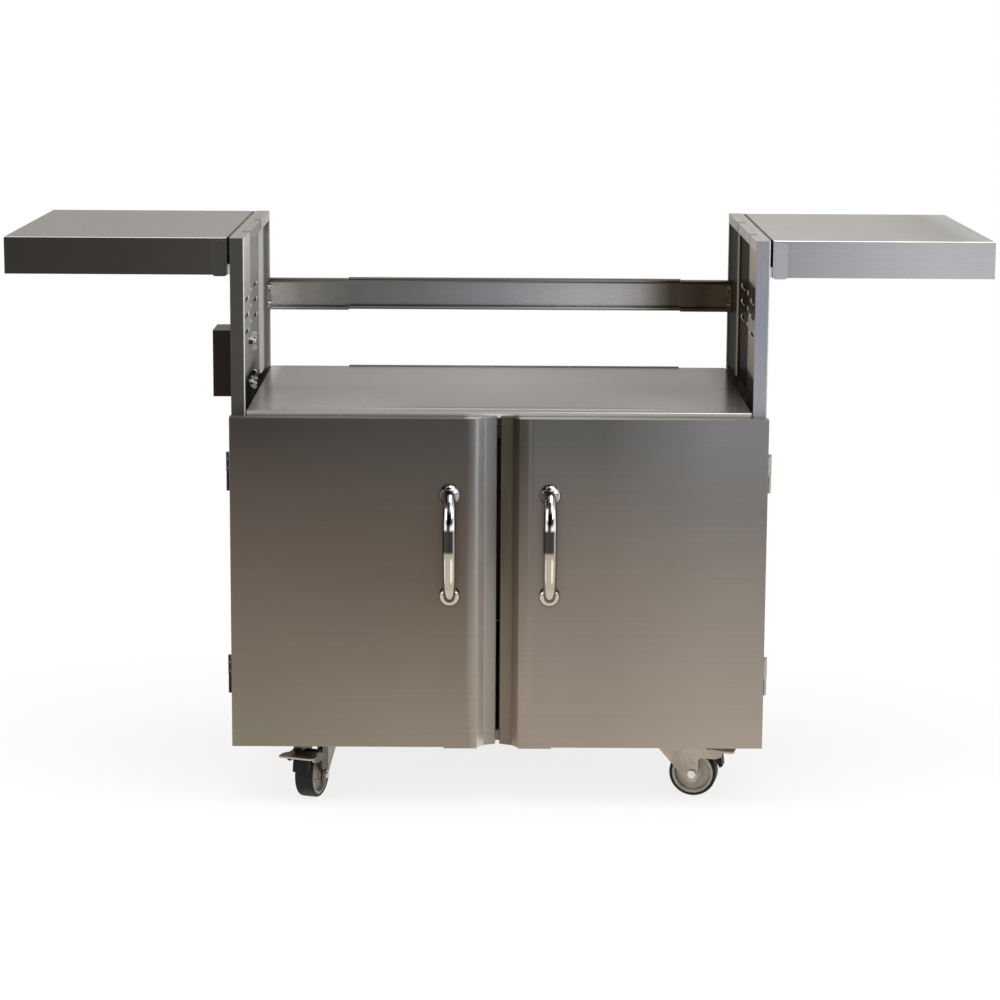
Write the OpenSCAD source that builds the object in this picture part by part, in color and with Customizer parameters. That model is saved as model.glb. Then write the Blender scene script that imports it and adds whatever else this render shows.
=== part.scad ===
// Grill cart: a two-door stainless cabinet on four swivel casters. Two hollow arms rise from
// its sides and carry shelves that fold down, and a grill head drops in between the arms.
// X runs across the cart, Y from front to back and Z up. The origin is on the floor, under
// the centre of the cart.

/* [Cabinet] */
// Clear width between the arms
opening_w = 778; // [620:1:1000]
// Thickness of each arm
arm_t = 22; // [18:1:32]
// Depth of the cabinet and the arms
cabinet_d = 520; // [460:1:640]
// Height of the cabinet above the caster plates
cabinet_h = 519; // [440:1:680]
// Height of the arms above the cabinet top
arm_rise = 264; // [230:1:340]
// Thickness of the folded sheet
sheet_t = 1.5; // [1:0.1:1.8]
// Outer radius of the bends
bend_r = 2.5; // [2:0.5:4]
// Gap between the top panel and each arm
panel_gap = 2; // [1:0.5:4]
// Height of the top panel's front flange
top_flange_h = 20; // [16:1:26]
// Height of the lip along the back of the top panel
back_lip_h = 2; // [1:0.5:4]
// Height of the floor pan's flanges
floor_pan_h = 17; // [14:1:26]
// Depth of the front rail
front_rail_d = 34; // [28:1:38]
// Height of the front rail
front_rail_h = 21; // [20:1:26]

/* [Arms] */
// Depth of the front post
front_post_d = 114.5; // [105:0.5:122]
// Depth of the rear post
rear_post_d = 187; // [150:1:200]
// Width of the hem behind the front post
post_hem_w = 12; // [9:1:15]
// Distance from the arm's inner face to its liner
liner_inset = 5; // [4:0.5:8]
// Width of the liner's hems
liner_hem_w = 7; // [5:1:8]
// Gap under the liner and the rear post
liner_lift = 12; // [6:1:20]
// Height of the lip along the arm's top
lip_h = 16; // [12:1:24]
// Width of the relief slits
slit_w = 1.3; // [1:0.1:2]
// Length of the relief slits
slit_l = 12; // [8:1:16]
// Length of a vent slot
vent_l = 62; // [40:1:70]
// Height of a vent slot
vent_h = 7; // [4:0.5:12]
// Height of the top row of vents, below the arm's top
vent_drop = 98; // [90:1:110]
// Distance between rows of vents
vent_pitch = 25; // [16:1:28]
// Distance from the cabinet front to the first column of vents
vent_y = 50; // [44:1:60]
// Distance between columns of vents
vent_step = 110; // [100:1:115]

/* [Rear rail] */
// Height of the rail
rail_h = 53; // [40:1:70]
// Depth of the rail's channel
rail_d = 20; // [16:1:28]
// Height of the rail's bottom edge above the cabinet top
rail_rise = 98; // [80:1:130]
// Step from the end pieces up to the centre piece
rail_step = 1.5; // [1:0.5:3]
// Length of the left end piece
rail_left_l = 134; // [110:1:180]
// Length of the right end piece
rail_right_l = 81; // [70:1:130]
// Height of the rail's top lip
rail_top_lip = 7; // [5:0.5:10]
// Height of the rail's bottom lip
rail_bottom_lip = 5; // [3:0.5:10]
// Length of the rail's end tabs
rail_tab_l = 60; // [50:1:80]
// Length of the centre piece's tongues
rail_tongue_l = 40; // [30:1:50]

/* [Back panel] */
// Height of the gap under the panel, for the gas hose and fresh air
back_gap_h = 58; // [40:1:80]
// Height of the closed hem along the panel's lower edge
back_hem_h = 12; // [8:1:18]
// Number of vent rows in the back panel
back_vent_rows = 5; // [3:1:7]
// Distance between the vent rows
back_vent_pitch = 22; // [16:1:30]
// Length of a vent in the back panel
back_vent_l = 90; // [60:1:110]

/* [Doors] */
// Thickness of the doors
door_t = 24; // [20:1:30]
// Gap between the doors and the cabinet
door_gap = 2; // [1.5:0.5:4]
// Gap between the two doors
door_split = 6; // [4:0.5:10]
// Overhang of the doors past the side panels
door_over = 1.4; // [1:0.1:1.5]
// Drop of the doors below the caster plates' top
door_drop = 5; // [2:0.5:7]
// Gap between the doors' top edge and the cabinet top
door_head = 7; // [4:0.5:12]
// Width of the chamfered edge beside the split
door_edge_w = 29; // [24:1:36]
// Depth of the chamfered edge
door_edge_d = 22; // [17:0.5:22]
// Drop of the doors' middle hems
door_hem_drop = 2; // [1:0.5:2]
// Inner end of the middle hem, from the middle of the cart
door_hem_x = 84; // [70:1:110]

/* [Door handles] */
// Distance between the handle's two feet
handle_l = 158; // [120:1:200]
// Height of the handle's centre above the floor
handle_z = 415; // [300:1:460]
// Distance of the left handle from the middle of the cart
left_handle_x = 75; // [60:1:120]
// Distance of the right handle from the middle of the cart
right_handle_x = 79; // [60:1:120]
// Reach of the handle in front of the door
handle_out = 44; // [38:1:60]
// Thickness of the grip at its middle
grip_mid_d = 20; // [16:0.5:24]
// Thickness of the grip at its feet
grip_end_d = 17; // [12:0.5:20]
// Diameter of the handle's feet
foot_d = 33; // [28:1:40]
// Diameter of the handle screws
handle_screw_d = 5; // [4:0.5:6]

/* [Door hinges] */
// Length of a door hinge
hinge_l = 60; // [40:2:80]
// Height of the lower hinge's centre
hinge_low_z = 205; // [150:1:260]
// Height of the upper hinge's centre
hinge_high_z = 525; // [420:1:560]
// Radius of the hinge knuckles
knuckle_r = 3.4; // [3:0.1:3.5]
// Radius of the hinge pins
hinge_pin_r = 2; // [1.5:0.1:2.2]
// Thickness of the hinge leaves
leaf_t = 2; // [1.5:0.1:2]
// Width of the hinge leaves
leaf_w = 22; // [16:1:22]

/* [Magnetic catch] */
// Width of the catch
catch_w = 76; // [60:1:100]
// Height of the catch
catch_h = 18; // [14:1:24]
// Depth of the catch
catch_d = 18; // [14:1:26]
// Width of a striker plate
striker_w = 26; // [20:1:30]

/* [Side shelves] */
// Length of a shelf across the cart
shelf_l = 339; // [260:1:380]
// Height of the shelf's skirts
shelf_h = 57; // [50:1:70]
// Distance from the cabinet front to the shelf's front
shelf_front = 12; // [12:0.5:20]
// Distance from the shelf's back to the cabinet back
shelf_back = 5; // [3:0.5:12]
// Gap between the arm and the shelf
shelf_gap = 5; // [5:0.5:8]
// Width of the hems under the shelf's skirts
shelf_hem = 12; // [8:1:12]
// Distance from the arm to the shelf's hinge axis
shelf_axis_x = 20; // [20:0.5:22]
// Height of the shelf's hinge axis above the skirts' lower edge
shelf_axis_z = 8; // [7:0.5:9]
// Radius of the shelf's hinge pins
shelf_pin_r = 3; // [2.5:0.1:3.5]
// Width of the end brackets
bracket_w = 22; // [20:1:26]
// Thickness of the end brackets
bracket_t = 2; // [1.5:0.1:2]
// Drop of the brackets' top below the shelf's top
bracket_drop = 3.5; // [3:0.5:8]
// Height of the black bumper strips
bumper_h = 27; // [20:1:32]

/* [Utility box] */
// Depth of the box along the cart
box_d = 80; // [76:1:100]
// Width of the box across the cart
box_w = 32.5; // [24:0.5:40]
// Height of the box
box_h = 103; // [98:1:130]
// Distance from the cabinet front to the box
box_y = 60; // [56:1:64]
// Height of the box above the cabinet top
box_rise = 13; // [8:1:20]
// Distance between the box bolts along the cart
box_bolt_y = 52; // [48:1:53]
// Distance between the box bolts in height
box_bolt_z = 66; // [60:1:70]
// Diameter of the box bolts
box_bolt_d = 6; // [5:0.5:7]

/* [Casters] */
// Height of the casters
caster_h = 100; // [99.5:0.5:104]
// Distance from the casters to the arms' inner faces
caster_side = 108; // [100:1:150]
// Distance from the cabinet front to the front casters
caster_front = 60; // [52:1:70]
// Distance from the rear casters to the cabinet back
caster_back = 60; // [52:1:70]
// Diameter of the wheels
wheel_d = 75; // [70:1:76]
// Width of the tyres
tyre_w = 30; // [24:1:31]
// Thickness of the tyres
tyre_t = 5; // [3:0.5:7]
// Distance from the swivel axis to the wheel axle
trail = 32; // [28:0.5:33]
// Diameter of the axle bolts
axle_d = 8; // [6:0.5:9]
// Inner width of the forks
fork_w = 36.6; // [36:0.2:40]
// Thickness of the fork legs
fork_t = 2.5; // [2:0.1:3]
// Thickness of the caster plates
plate_t = 2.5; // [2:0.1:3]
// Length of the caster plates
plate_l = 95; // [90:1:104]
// Width of the caster plates
plate_w = 67; // [64:1:72]
// Distance between the caster bolts along the plate
plate_bolt_x = 74; // [72:1:78]
// Distance between the caster bolts across the plate
plate_bolt_y = 46; // [44:1:48]
// Diameter of the caster bolts
plate_bolt_d = 8; // [6:0.5:8]
// Diameter of the kingpins
kingpin_d = 10; // [8:0.5:12]
// Thickness of the caster channels
channel_t = 2.5; // [2:0.1:3]
// Width of the caster channels
channel_w = 76; // [74:1:86]
// Angle through which a brake lever is pressed
brake_angle = 8; // [5:0.5:8]
// Direction in which the front left wheel trails
front_left_turn = -109.5; // [-180:0.5:180]
// Direction in which the front right wheel trails
front_right_turn = -12; // [-180:0.5:180]
// Direction in which the rear left wheel trails
rear_left_turn = 18; // [-180:0.5:180]
// Direction in which the rear right wheel trails
rear_right_turn = 145; // [-180:0.5:180]

/* [Fits] */
// Gap between pieces that swing past each other
swing_gap = 0.3; // [0.25:0.05:0.4]
// Radial clearance of a turning fit
run_clear = 0.05; // [0.02:0.01:0.08]
// Radial clearance of a bolt in its hole
bolt_clear = 0.2; // [0.1:0.05:0.4]

/* [Hidden] */
$fn = 48;
cut = 1;
bend_steps = 3;

steel = "#8f8b85";
dark_steel = "#55524c";
bright_steel = "#b9b7b3";
zinc = "#a8a7a2";
black = "#1c1c1e";

half_open = opening_w / 2;
caster_x = half_open - caster_side;
side_x = half_open + arm_t;
base_z = caster_h;
floor_z = base_z + floor_pan_h;
top_z = base_z + cabinet_h;
arm_z = top_z + arm_rise;
front_reach = door_gap + door_t + handle_out;
mid_y = (cabinet_d - front_reach) / 2;
sheet_back = cabinet_d - sheet_t;

liner_x = half_open + liner_inset;
post_x = half_open + sheet_t;
rear_post_y = cabinet_d - rear_post_d;
liner_z = top_z + liner_lift;

rail_z = top_z + rail_rise;
rail_left = half_open - rail_left_l;
rail_right = half_open - rail_right_l;
rail_bolt_d = 6;
rail_bolt_gap = 28;

door_in = door_split / 2;
door_out = side_x + door_over;
door_back = -door_gap;
door_front = -door_gap - door_t;
door_z = base_z - door_drop;
door_top = top_z - door_head;
hinge_x = door_out + knuckle_r + 0.2;
hinge_y = door_back + 0.5;
hinge_zs = [hinge_low_z, hinge_high_z];

catch_top = top_z - sheet_t - front_rail_h;
striker_x = catch_w / 2 - striker_w;

shelf_in = side_x + shelf_gap;
shelf_out = shelf_in + shelf_l;
shelf_y0 = shelf_front;
shelf_y1 = cabinet_d - shelf_back;
shelf_z = arm_z - shelf_h;
fold_x = side_x + shelf_axis_x;
fold_z = shelf_z + shelf_axis_z;
ear_r = shelf_axis_z;
shelf_ear_y = sheet_t + bracket_t;
mount_t = 1.5;
mount_ear_t = 2.5;
mount_ear_y = shelf_ear_y + 2 * swing_gap + 0.4;

box_bolt_y0 = box_y + (box_d - box_bolt_y) / 2 + 1;
box_z = top_z + box_rise;
box_bolt_z0 = box_z + (box_h - box_bolt_z) / 2 + 1;
box_flange = 24;

wheel_r = wheel_d / 2;
hub_r = wheel_r - tyre_t;
hub_half = fork_w / 2 - swing_gap;
plate_z = caster_h - plate_t;
head_t = 3.5;
head_z = plate_z - 10.5;
head_r = 26;
cup_z = head_z + head_t + swing_gap;
cup_r = 28;
pivot_x = trail + 11;
pivot_z = wheel_r + 42;
pivot_r = 3;
arm_y = fork_w / 2 + fork_t + swing_gap;
lever_t = 1.5;
pedal_z = pivot_z - 3.5;
pedal_t = 3;

CASTERS = [
    [-caster_x, caster_front, front_left_turn],
    [caster_x, caster_front, front_right_turn],
    [-caster_x, cabinet_d - caster_back, rear_left_turn],
    [caster_x, cabinet_d - caster_back, rear_right_turn]
];

// Left-hand normal of the segment from a to b
function normal(a, b) = let (d = (b - a) / norm(b - a)) [-d[1], d[0]];

// Points of an open path moved to its left by t
function beside(p, t) = let (n = len(p)) [
    for (i = [0 : n - 1])
        let (
            n1 = normal(p[max(i - 1, 0)], p[max(i, 1)]),
            n2 = normal(p[min(i, n - 2)], p[min(i + 1, n - 1)])
        )
        p[i] + t * (n1 + n2) / (1 + n1 * n2)
];

// A list in the opposite order
function reversed(p) = [for (i = [len(p) - 1 : -1 : 0]) p[i]];

// Arc of radius r in place of the corner b between a and c
function corner(a, b, c, r) = let (
    u = (a - b) / norm(a - b),
    v = (c - b) / norm(c - b),
    half = acos(u * v) / 2,
    o = b + (u + v) / norm(u + v) * r / sin(half),
    s = b + u * r / tan(half) - o,
    e = b + v * r / tan(half) - o,
    a0 = atan2(s[1], s[0]),
    turn = (atan2(e[1], e[0]) - a0 + 540) % 360 - 180
) [for (i = [0 : bend_steps]) o + r * [cos(a0 + turn * i / bend_steps), sin(a0 + turn * i / bend_steps)]];

// Open path with its corners bent to radius r
function bent(p, r) = [
    for (i = [0 : len(p) - 1])
        each (i == 0 || i == len(p) - 1) ? [p[i]] : corner(p[i - 1], p[i], p[i + 1], r)
];

// Arc about c from angle a0 to a1
function arc(c, r, a0, a1, n) = [for (i = [0 : n]) c + r * [cos(a0 + (a1 - a0) * i / n), sin(a0 + (a1 - a0) * i / n)]];

// Section of a sheet of thickness t folded along a path, on the path's left
module fold(p, t = sheet_t) {
    q = bent(p, bend_r + t - sheet_t);
    polygon(concat(q, reversed(beside(q, t))));
}

// A YZ section run along X
module along_x(x0, x1) {
    translate([x0, 0, 0]) rotate([90, 0, 90]) linear_extrude(height = x1 - x0) children();
}

// An XZ section run along Y
module along_y(y0, y1) {
    translate([0, y1, 0]) rotate([90, 0, 0]) linear_extrude(height = y1 - y0) children();
}

// An XY section run along Z
module along_z(z0, z1) {
    translate([0, 0, z0]) linear_extrude(height = z1 - z0) children();
}

// Box between two corners
module block(a, b) {
    translate(a) cube(b - a);
}

// Cylinder along X from x0 to x1
module rod_x(x0, x1, y, z, r) {
    translate([x0, y, z]) rotate([0, 90, 0]) cylinder(h = x1 - x0, r = r);
}

// Cylinder along Y from y0 to y1
module rod_y(y0, y1, x, z, r) {
    translate([x, y1, z]) rotate([90, 0, 0]) cylinder(h = y1 - y0, r = r);
}

// Cylinder along Z from z0 to z1
module rod_z(z0, z1, x, y, r) {
    translate([x, y, z0]) cylinder(h = z1 - z0, r = r);
}

// Hexagon along Z from z0 to z1, measured across its corners
module hex_z(z0, z1, x, y, r) {
    translate([x, y, z0]) cylinder(h = z1 - z0, r = r, $fn = 6);
}

// Slot through a sheet that faces X, centred at y, z
module slot_x(x0, x1, y, z, l, h) {
    block([x0, y - l / 2 + h / 2, z - h / 2], [x1, y + l / 2 - h / 2, z + h / 2]);
    for (s = [-1, 1])
        rod_x(x0, x1, y + s * (l / 2 - h / 2), z, h / 2);
}

// Slot through a sheet that faces Y, centred at x, z
module slot_y(y0, y1, x, z, l, h) {
    block([x - l / 2 + h / 2, y0, z - h / 2], [x + l / 2 - h / 2, y1, z + h / 2]);
    for (s = [-1, 1])
        rod_y(y0, y1, x + s * (l / 2 - h / 2), z, h / 2);
}

// Moves a shape from the cabinet's front plane to the cart's frame
module placed() {
    translate([0, -mid_y, 0]) children();
}

// Draws a right-hand shape on the right for s = 1, or mirrored on the left for s = -1
module on_side(s) {
    translate([0, -mid_y, 0]) {
        if (s > 0)
            children();
        else
            mirror([1, 0, 0]) children();
    }
}

// Places of the four box bolts, as y and z
BOX_BOLTS = [
    for (i = [0, 1])
        for (k = [0, 1])
            [box_bolt_y0 + i * box_bolt_y, box_bolt_z0 + k * box_bolt_z]
];

// Holes of the box bolts through an arm
module box_bolt_holes() {
    for (b = BOX_BOLTS)
        rod_x(half_open - cut, side_x + cut, b[0], b[1], box_bolt_d / 2 + bolt_clear);
}

// Vent slots through sheets between x0 and x1, for the columns from c0 to c1
module arm_vents(x0, x1, c0, c1) {
    for (c = [c0 : c1])
        for (r = [0 : 2])
            slot_x(x0, x1, vent_y + c * vent_step, arm_z - vent_drop - r * vent_pitch, vent_l, vent_h);
}

// Side panel: cabinet wall and arm in one folded sheet
module side_panel(s) {
    rim = bent([[half_open, sheet_back], [half_open, 0], [side_x, 0], [side_x, sheet_back]], bend_r);
    hole_drop = 67;
    hole_y = 40;
    on_side(s) difference() {
        union() {
            along_z(base_z, arm_z) fold([
                [half_open + post_hem_w, front_post_d], [half_open, front_post_d], [half_open, 0],
                [side_x, 0], [side_x, sheet_back], [half_open, sheet_back]
            ]);
            along_z(arm_z - sheet_t, arm_z) polygon(rim);
            along_z(base_z, base_z + sheet_t) polygon(rim);
            block([half_open, front_post_d + slit_w, arm_z - lip_h], [post_x, sheet_back, arm_z]);
        }
        for (y = [front_post_d, rear_post_y])
            block([half_open - cut, y, arm_z - lip_h - cut], [half_open + slit_l, y + slit_w, arm_z + cut]);
        arm_vents(side_x - sheet_t - cut, side_x + cut, 0, 2);
        arm_vents(half_open - cut, post_x + cut, 0, 0);
        if (s < 0) {
            box_bolt_holes();
            rod_x(half_open - cut, post_x + cut, hole_y, arm_z - hole_drop, 3);
        }
    }
}

// Inner sheet of an arm, between its posts
module arm_liner(s) {
    on_side(s) difference() {
        along_z(liner_z, arm_z - sheet_t) fold([
            [liner_x + liner_hem_w, rear_post_y], [liner_x, rear_post_y],
            [liner_x, front_post_d], [liner_x + liner_hem_w, front_post_d]
        ]);
        arm_vents(liner_x - cut, liner_x + sheet_t + cut, 1, 2);
        if (s < 0)
            box_bolt_holes();
    }
}

// Rear post of an arm
module rear_post(s) {
    hem_x = side_x - bend_r;
    on_side(s) difference() {
        along_z(liner_z, arm_z - sheet_t) fold([
            [hem_x, sheet_back - sheet_t], [post_x, sheet_back - sheet_t],
            [post_x, rear_post_y], [hem_x, rear_post_y]
        ]);
        rail_tab_bolts() rod_x(post_x - cut, post_x + sheet_t + cut, 0, 0, rail_bolt_d / 2 + bolt_clear);
    }
}

// Top panel with its front flange, side flanges and back lip
module top_panel() {
    w = half_open - panel_gap;
    side_flange = 12;
    color(bright_steel) placed() {
        along_x(-w, w) fold([[cabinet_d, top_z], [0, top_z], [0, top_z - top_flange_h]]);
        for (x = [-w, w - sheet_t])
            block([x, front_rail_d + 6, top_z - side_flange], [x + sheet_t, cabinet_d - 40, top_z - sheet_t / 2]);
        block([-rail_left, sheet_back, top_z - sheet_t], [rail_right, cabinet_d, top_z + back_lip_h]);
    }
}

// Floor pan of the cabinet, open below
module bottom_panel() {
    color(steel) placed() {
        along_x(-half_open, half_open) fold([
            [sheet_back, base_z], [sheet_back, floor_z], [0, floor_z], [0, base_z]
        ]);
        for (x = [-half_open, half_open - sheet_t])
            block([x, sheet_t, base_z], [x + sheet_t, sheet_back - sheet_t, floor_z - sheet_t / 2]);
    }
}

// Back panel with vents, above the gap that the gas hose comes in through
module back_panel() {
    w = side_x - bend_r;
    flange_w = half_open - panel_gap;
    back_flange = 21;
    vent_x = 130;
    vent_top = top_z - 80;
    z0 = floor_z + back_gap_h;
    z1 = top_z - sheet_t;
    color(steel) placed() difference() {
        union() {
            block([-w, sheet_back, z0], [w, cabinet_d, z1]);
            block([-flange_w, cabinet_d - back_flange, z1 - sheet_t], [flange_w, cabinet_d, z1]);
            block([-flange_w, sheet_back - sheet_t, z0], [flange_w, cabinet_d, z0 + back_hem_h]);
        }
        for (s = [-1, 1])
            for (i = [0 : back_vent_rows - 1])
                slot_y(sheet_back - cut, cabinet_d + cut, s * vent_x, vent_top - i * back_vent_pitch, back_vent_l, 6);
    }
}

// Rail behind the top panel's front flange
module front_rail() {
    z1 = top_z - sheet_t;
    color(steel) placed() along_x(-half_open, half_open) fold([
        [front_rail_d, z1], [sheet_t, z1], [sheet_t, z1 - front_rail_h], [front_rail_d, z1 - front_rail_h]
    ]);
}

// Places of the four bolts of each caster
module at_caster_bolts() {
    for (c = CASTERS)
        for (i = [-1, 1])
            for (k = [-1, 1])
                translate([c[0] + i * plate_bolt_x / 2, c[1] + k * plate_bolt_y / 2, 0]) children();
}

// Channels under the floor pan that carry the casters
module caster_channels() {
    x = half_open - sheet_t;
    color(zinc) placed() difference() {
        for (y = [caster_front, cabinet_d - caster_back])
            along_x(-x, x) fold([
                [y - channel_w / 2, floor_z - sheet_t], [y - channel_w / 2, base_z],
                [y + channel_w / 2, base_z], [y + channel_w / 2, floor_z - sheet_t]
            ], channel_t);
        at_caster_bolts() rod_z(base_z - cut, base_z + channel_t + cut, 0, 0, plate_bolt_d / 2 + bolt_clear);
    }
}

// Lipped channel of the rear rail, between x0 and x1, shifted by dy and dz
module rail_channel(x0, x1, dy, dz) {
    y0 = cabinet_d - rail_d + dy;
    y1 = sheet_back + dy;
    z0 = rail_z + dz;
    z1 = z0 + rail_h;
    translate([x0, 0, 0]) rotate([90, 0, 90]) linear_extrude(height = x1 - x0) fold([
        [y0, z0 + rail_bottom_lip], [y0, z0], [y1, z0], [y1, z1], [y0, z1], [y0, z1 - rail_top_lip]
    ]);
}

// Places of the bolts through the rail's end tabs, on the right
module rail_tab_bolts() {
    for (i = [-1, 1])
        translate([0, cabinet_d - rail_tab_l + 16, rail_z + rail_h / 2 + i * rail_bolt_gap / 2]) children();
}

// Places of the bolts through the rail's tongues
module rail_tongue_bolts() {
    for (x = [-rail_left - rail_tongue_l / 2, rail_right + rail_tongue_l / 2])
        for (i = [-1, 1])
            translate([x, 0, rail_z + rail_h / 2 + i * rail_bolt_gap / 2]) children();
}

// Centre piece of the rear rail, with a tongue behind each end piece
module rear_rail_center() {
    z0 = rail_z + rail_step;
    color(steel) placed() difference() {
        union() {
            rail_channel(-rail_left, rail_right, sheet_t, rail_step);
            block([-rail_left - rail_tongue_l, sheet_back, z0 + 2], [rail_right + rail_tongue_l, cabinet_d, z0 + rail_h - 4]);
        }
        rail_tongue_bolts() rod_y(sheet_back - cut, cabinet_d + cut, 0, 0, rail_bolt_d / 2 + bolt_clear);
    }
}

// End pieces of the rear rail, with their tabs on the rear posts
module rear_rail_ends() {
    tab_z = rail_z + 5;
    color(steel) placed() difference() {
        union() {
            rail_channel(-half_open, -rail_left, 0, 0);
            rail_channel(rail_right, half_open, 0, 0);
            for (s = [0, 1])
                mirror([s, 0, 0]) block(
                    [half_open - sheet_t / 2, cabinet_d - rail_tab_l, tab_z],
                    [post_x, sheet_back - sheet_t, tab_z + rail_h - 10]);
        }
        rail_tongue_bolts() rod_y(sheet_back - sheet_t - cut, sheet_back + cut, 0, 0, rail_bolt_d / 2 + bolt_clear);
        for (s = [0, 1])
            mirror([s, 0, 0]) rail_tab_bolts()
                rod_x(half_open - 2 * cut, post_x + cut, 0, 0, rail_bolt_d / 2 + bolt_clear);
    }
}

// Bolts and nuts of the casters and of the rear rail
module frame_bolts() {
    head = plate_bolt_d * 0.55;
    rail_head = 4;
    rail_r = rail_bolt_d / 2;
    color(zinc) placed() {
        at_caster_bolts() {
            hex_z(plate_z - head, plate_z, 0, 0, plate_bolt_d * 0.85);
            rod_z(plate_z - 0.1, base_z + channel_t + 0.1, 0, 0, plate_bolt_d / 2);
            hex_z(base_z + channel_t, base_z + channel_t + head, 0, 0, plate_bolt_d * 0.85);
        }
        rail_tongue_bolts() {
            rod_y(sheet_back - sheet_t - 3, cabinet_d, 0, 0, rail_r);
            rod_y(sheet_back - sheet_t - 3, sheet_back - sheet_t, 0, 0, 2 * rail_r);
        }
        for (s = [0, 1])
            mirror([s, 0, 0]) rail_tab_bolts() {
                rod_x(half_open - rail_head, post_x + sheet_t + rail_head, 0, 0, rail_r);
                rod_x(half_open - rail_head, half_open - sheet_t / 2, 0, 0, 2 * rail_r);
                rod_x(post_x + sheet_t, post_x + sheet_t + rail_head, 0, 0, 2 * rail_r);
            }
    }
}

// Box on the outside of the left arm, open towards the arm inside a flange
module utility_box() {
    x1 = side_x + box_w;
    z1 = box_z + box_h;
    w = sheet_t;
    color(dark_steel) on_side(-1) difference() {
        block([side_x, box_y, box_z], [x1, box_y + box_d, z1]);
        block([side_x + w, box_y + w, box_z + w], [x1 - w, box_y + box_d - w, z1 - w]);
        block([side_x - cut, box_y + box_flange, box_z + box_flange],
            [side_x + w + cut, box_y + box_d - box_flange, z1 - box_flange]);
        box_bolt_holes();
        for (b = BOX_BOLTS)
            rod_x(side_x - cut, side_x + w + cut, b[0], b[1], box_bolt_d / 2 + bolt_clear);
    }
}

// Inner face that a box bolt's wing nut sits on
function nut_face(y) = y < front_post_d ? half_open : liner_x;

// Bolts of the utility box
module box_bolts() {
    color(zinc) on_side(-1) for (b = BOX_BOLTS) {
        rod_x(nut_face(b[0]) - 11, side_x + sheet_t + 0.5, b[0], b[1], box_bolt_d / 2);
        rod_x(side_x + sheet_t, side_x + sheet_t + 3.5, b[0], b[1], box_bolt_d * 0.95);
    }
}

// Wing nut whose boss sits on a face at x, with wings reaching inwards
module wing_nut(x, y, z, turn) {
    boss_r = box_bolt_d * 0.95;
    boss_l = 7;
    reach = 14;
    translate([x, y, z]) rotate([turn, 0, 0]) difference() {
        union() {
            rod_x(-boss_l, 0, 0, 0, boss_r);
            for (s = [0, 1])
                mirror([0, s, 0]) along_z(-1.1, 1.1) polygon(concat(
                    [[-1, 3.2], [-1, boss_r + 1]],
                    arc([-reach + 5.5, boss_r + 5], 4.5, 10, 200, 8),
                    [[-boss_l + 1, 3.2]]
                ));
        }
        rod_x(-reach - cut, cut, 0, 0, box_bolt_d / 2);
    }
}

// The four wing nuts on the left arm's inner face
module wing_nuts() {
    turns = [25, 70, 110, 160];
    color(bright_steel) on_side(-1)
        for (i = [0 : len(BOX_BOLTS) - 1])
            wing_nut(nut_face(BOX_BOLTS[i][0]), BOX_BOLTS[i][0], BOX_BOLTS[i][1], turns[i]);
}

// Draws a shape at the front end of a shelf, and mirrored at its back end
module at_shelf_ends() {
    children();
    translate([0, shelf_y0 + shelf_y1, 0]) mirror([0, 1, 0]) children();
}

// Hinge plates on the arms, with an ear at each end of the shelf
module shelf_mounts() {
    plate_y = shelf_y0 + 8;
    ear_y = shelf_y0 + mount_ear_y;
    color(zinc) for (s = [-1, 1]) on_side(s) difference() {
        union() {
            block([side_x, plate_y, shelf_z], [side_x + mount_t, shelf_y0 + shelf_y1 - plate_y, arm_z]);
            at_shelf_ends() along_y(ear_y, ear_y + mount_ear_t) polygon(concat(
                [[side_x + mount_t / 2, fold_z - ear_r]],
                arc([fold_x, fold_z], ear_r, -90, 90, 12),
                [[side_x + mount_t / 2, fold_z + ear_r]]
            ));
        }
        at_shelf_ends() rod_y(ear_y - cut, ear_y + mount_ear_t + cut, fold_x, fold_z, shelf_pin_r);
    }
}

// Black strips that the level shelves lean on
module shelf_bumpers() {
    x0 = side_x + mount_t;
    x1 = shelf_in - swing_gap;
    color(black) for (s = [-1, 1]) on_side(s)
        block([x0, shelf_y0 + 8, arm_z - bumper_h], [x1, shelf_y1 - 8, arm_z]);
}

// Hinge pins of the shelves, headed inside the mount's ears
module shelf_pins() {
    y0 = shelf_y0 + sheet_t + swing_gap;
    y1 = shelf_y0 + mount_ear_y + mount_ear_t;
    color(zinc) for (s = [-1, 1]) on_side(s) at_shelf_ends() {
        rod_y(y0, y1 + 1, fold_x, fold_z, shelf_pin_r);
        rod_y(y1, y1 + 2.5, fold_x, fold_z, shelf_pin_r + 2);
    }
}

// Closed section of a shelf with bent upper edges, a and b across and z0 to z1 in height
function shelf_section(a, b, z0, z1, r) = bent([[a, z0], [a, z1], [b, z1], [b, z0]], r);

// Solid of a shelf's outside, or of its inside where d is the sheet's thickness
module shelf_body(d) {
    r = bend_r - d;
    intersection() {
        along_y(shelf_y0 + d, shelf_y1 - d)
            polygon(shelf_section(shelf_in + d, shelf_out - d, shelf_z + d, arm_z - d, r));
        along_x(shelf_in + d, shelf_out - d)
            polygon(shelf_section(shelf_y0 + d, shelf_y1 - d, shelf_z + d, arm_z - d, r));
    }
}

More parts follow.
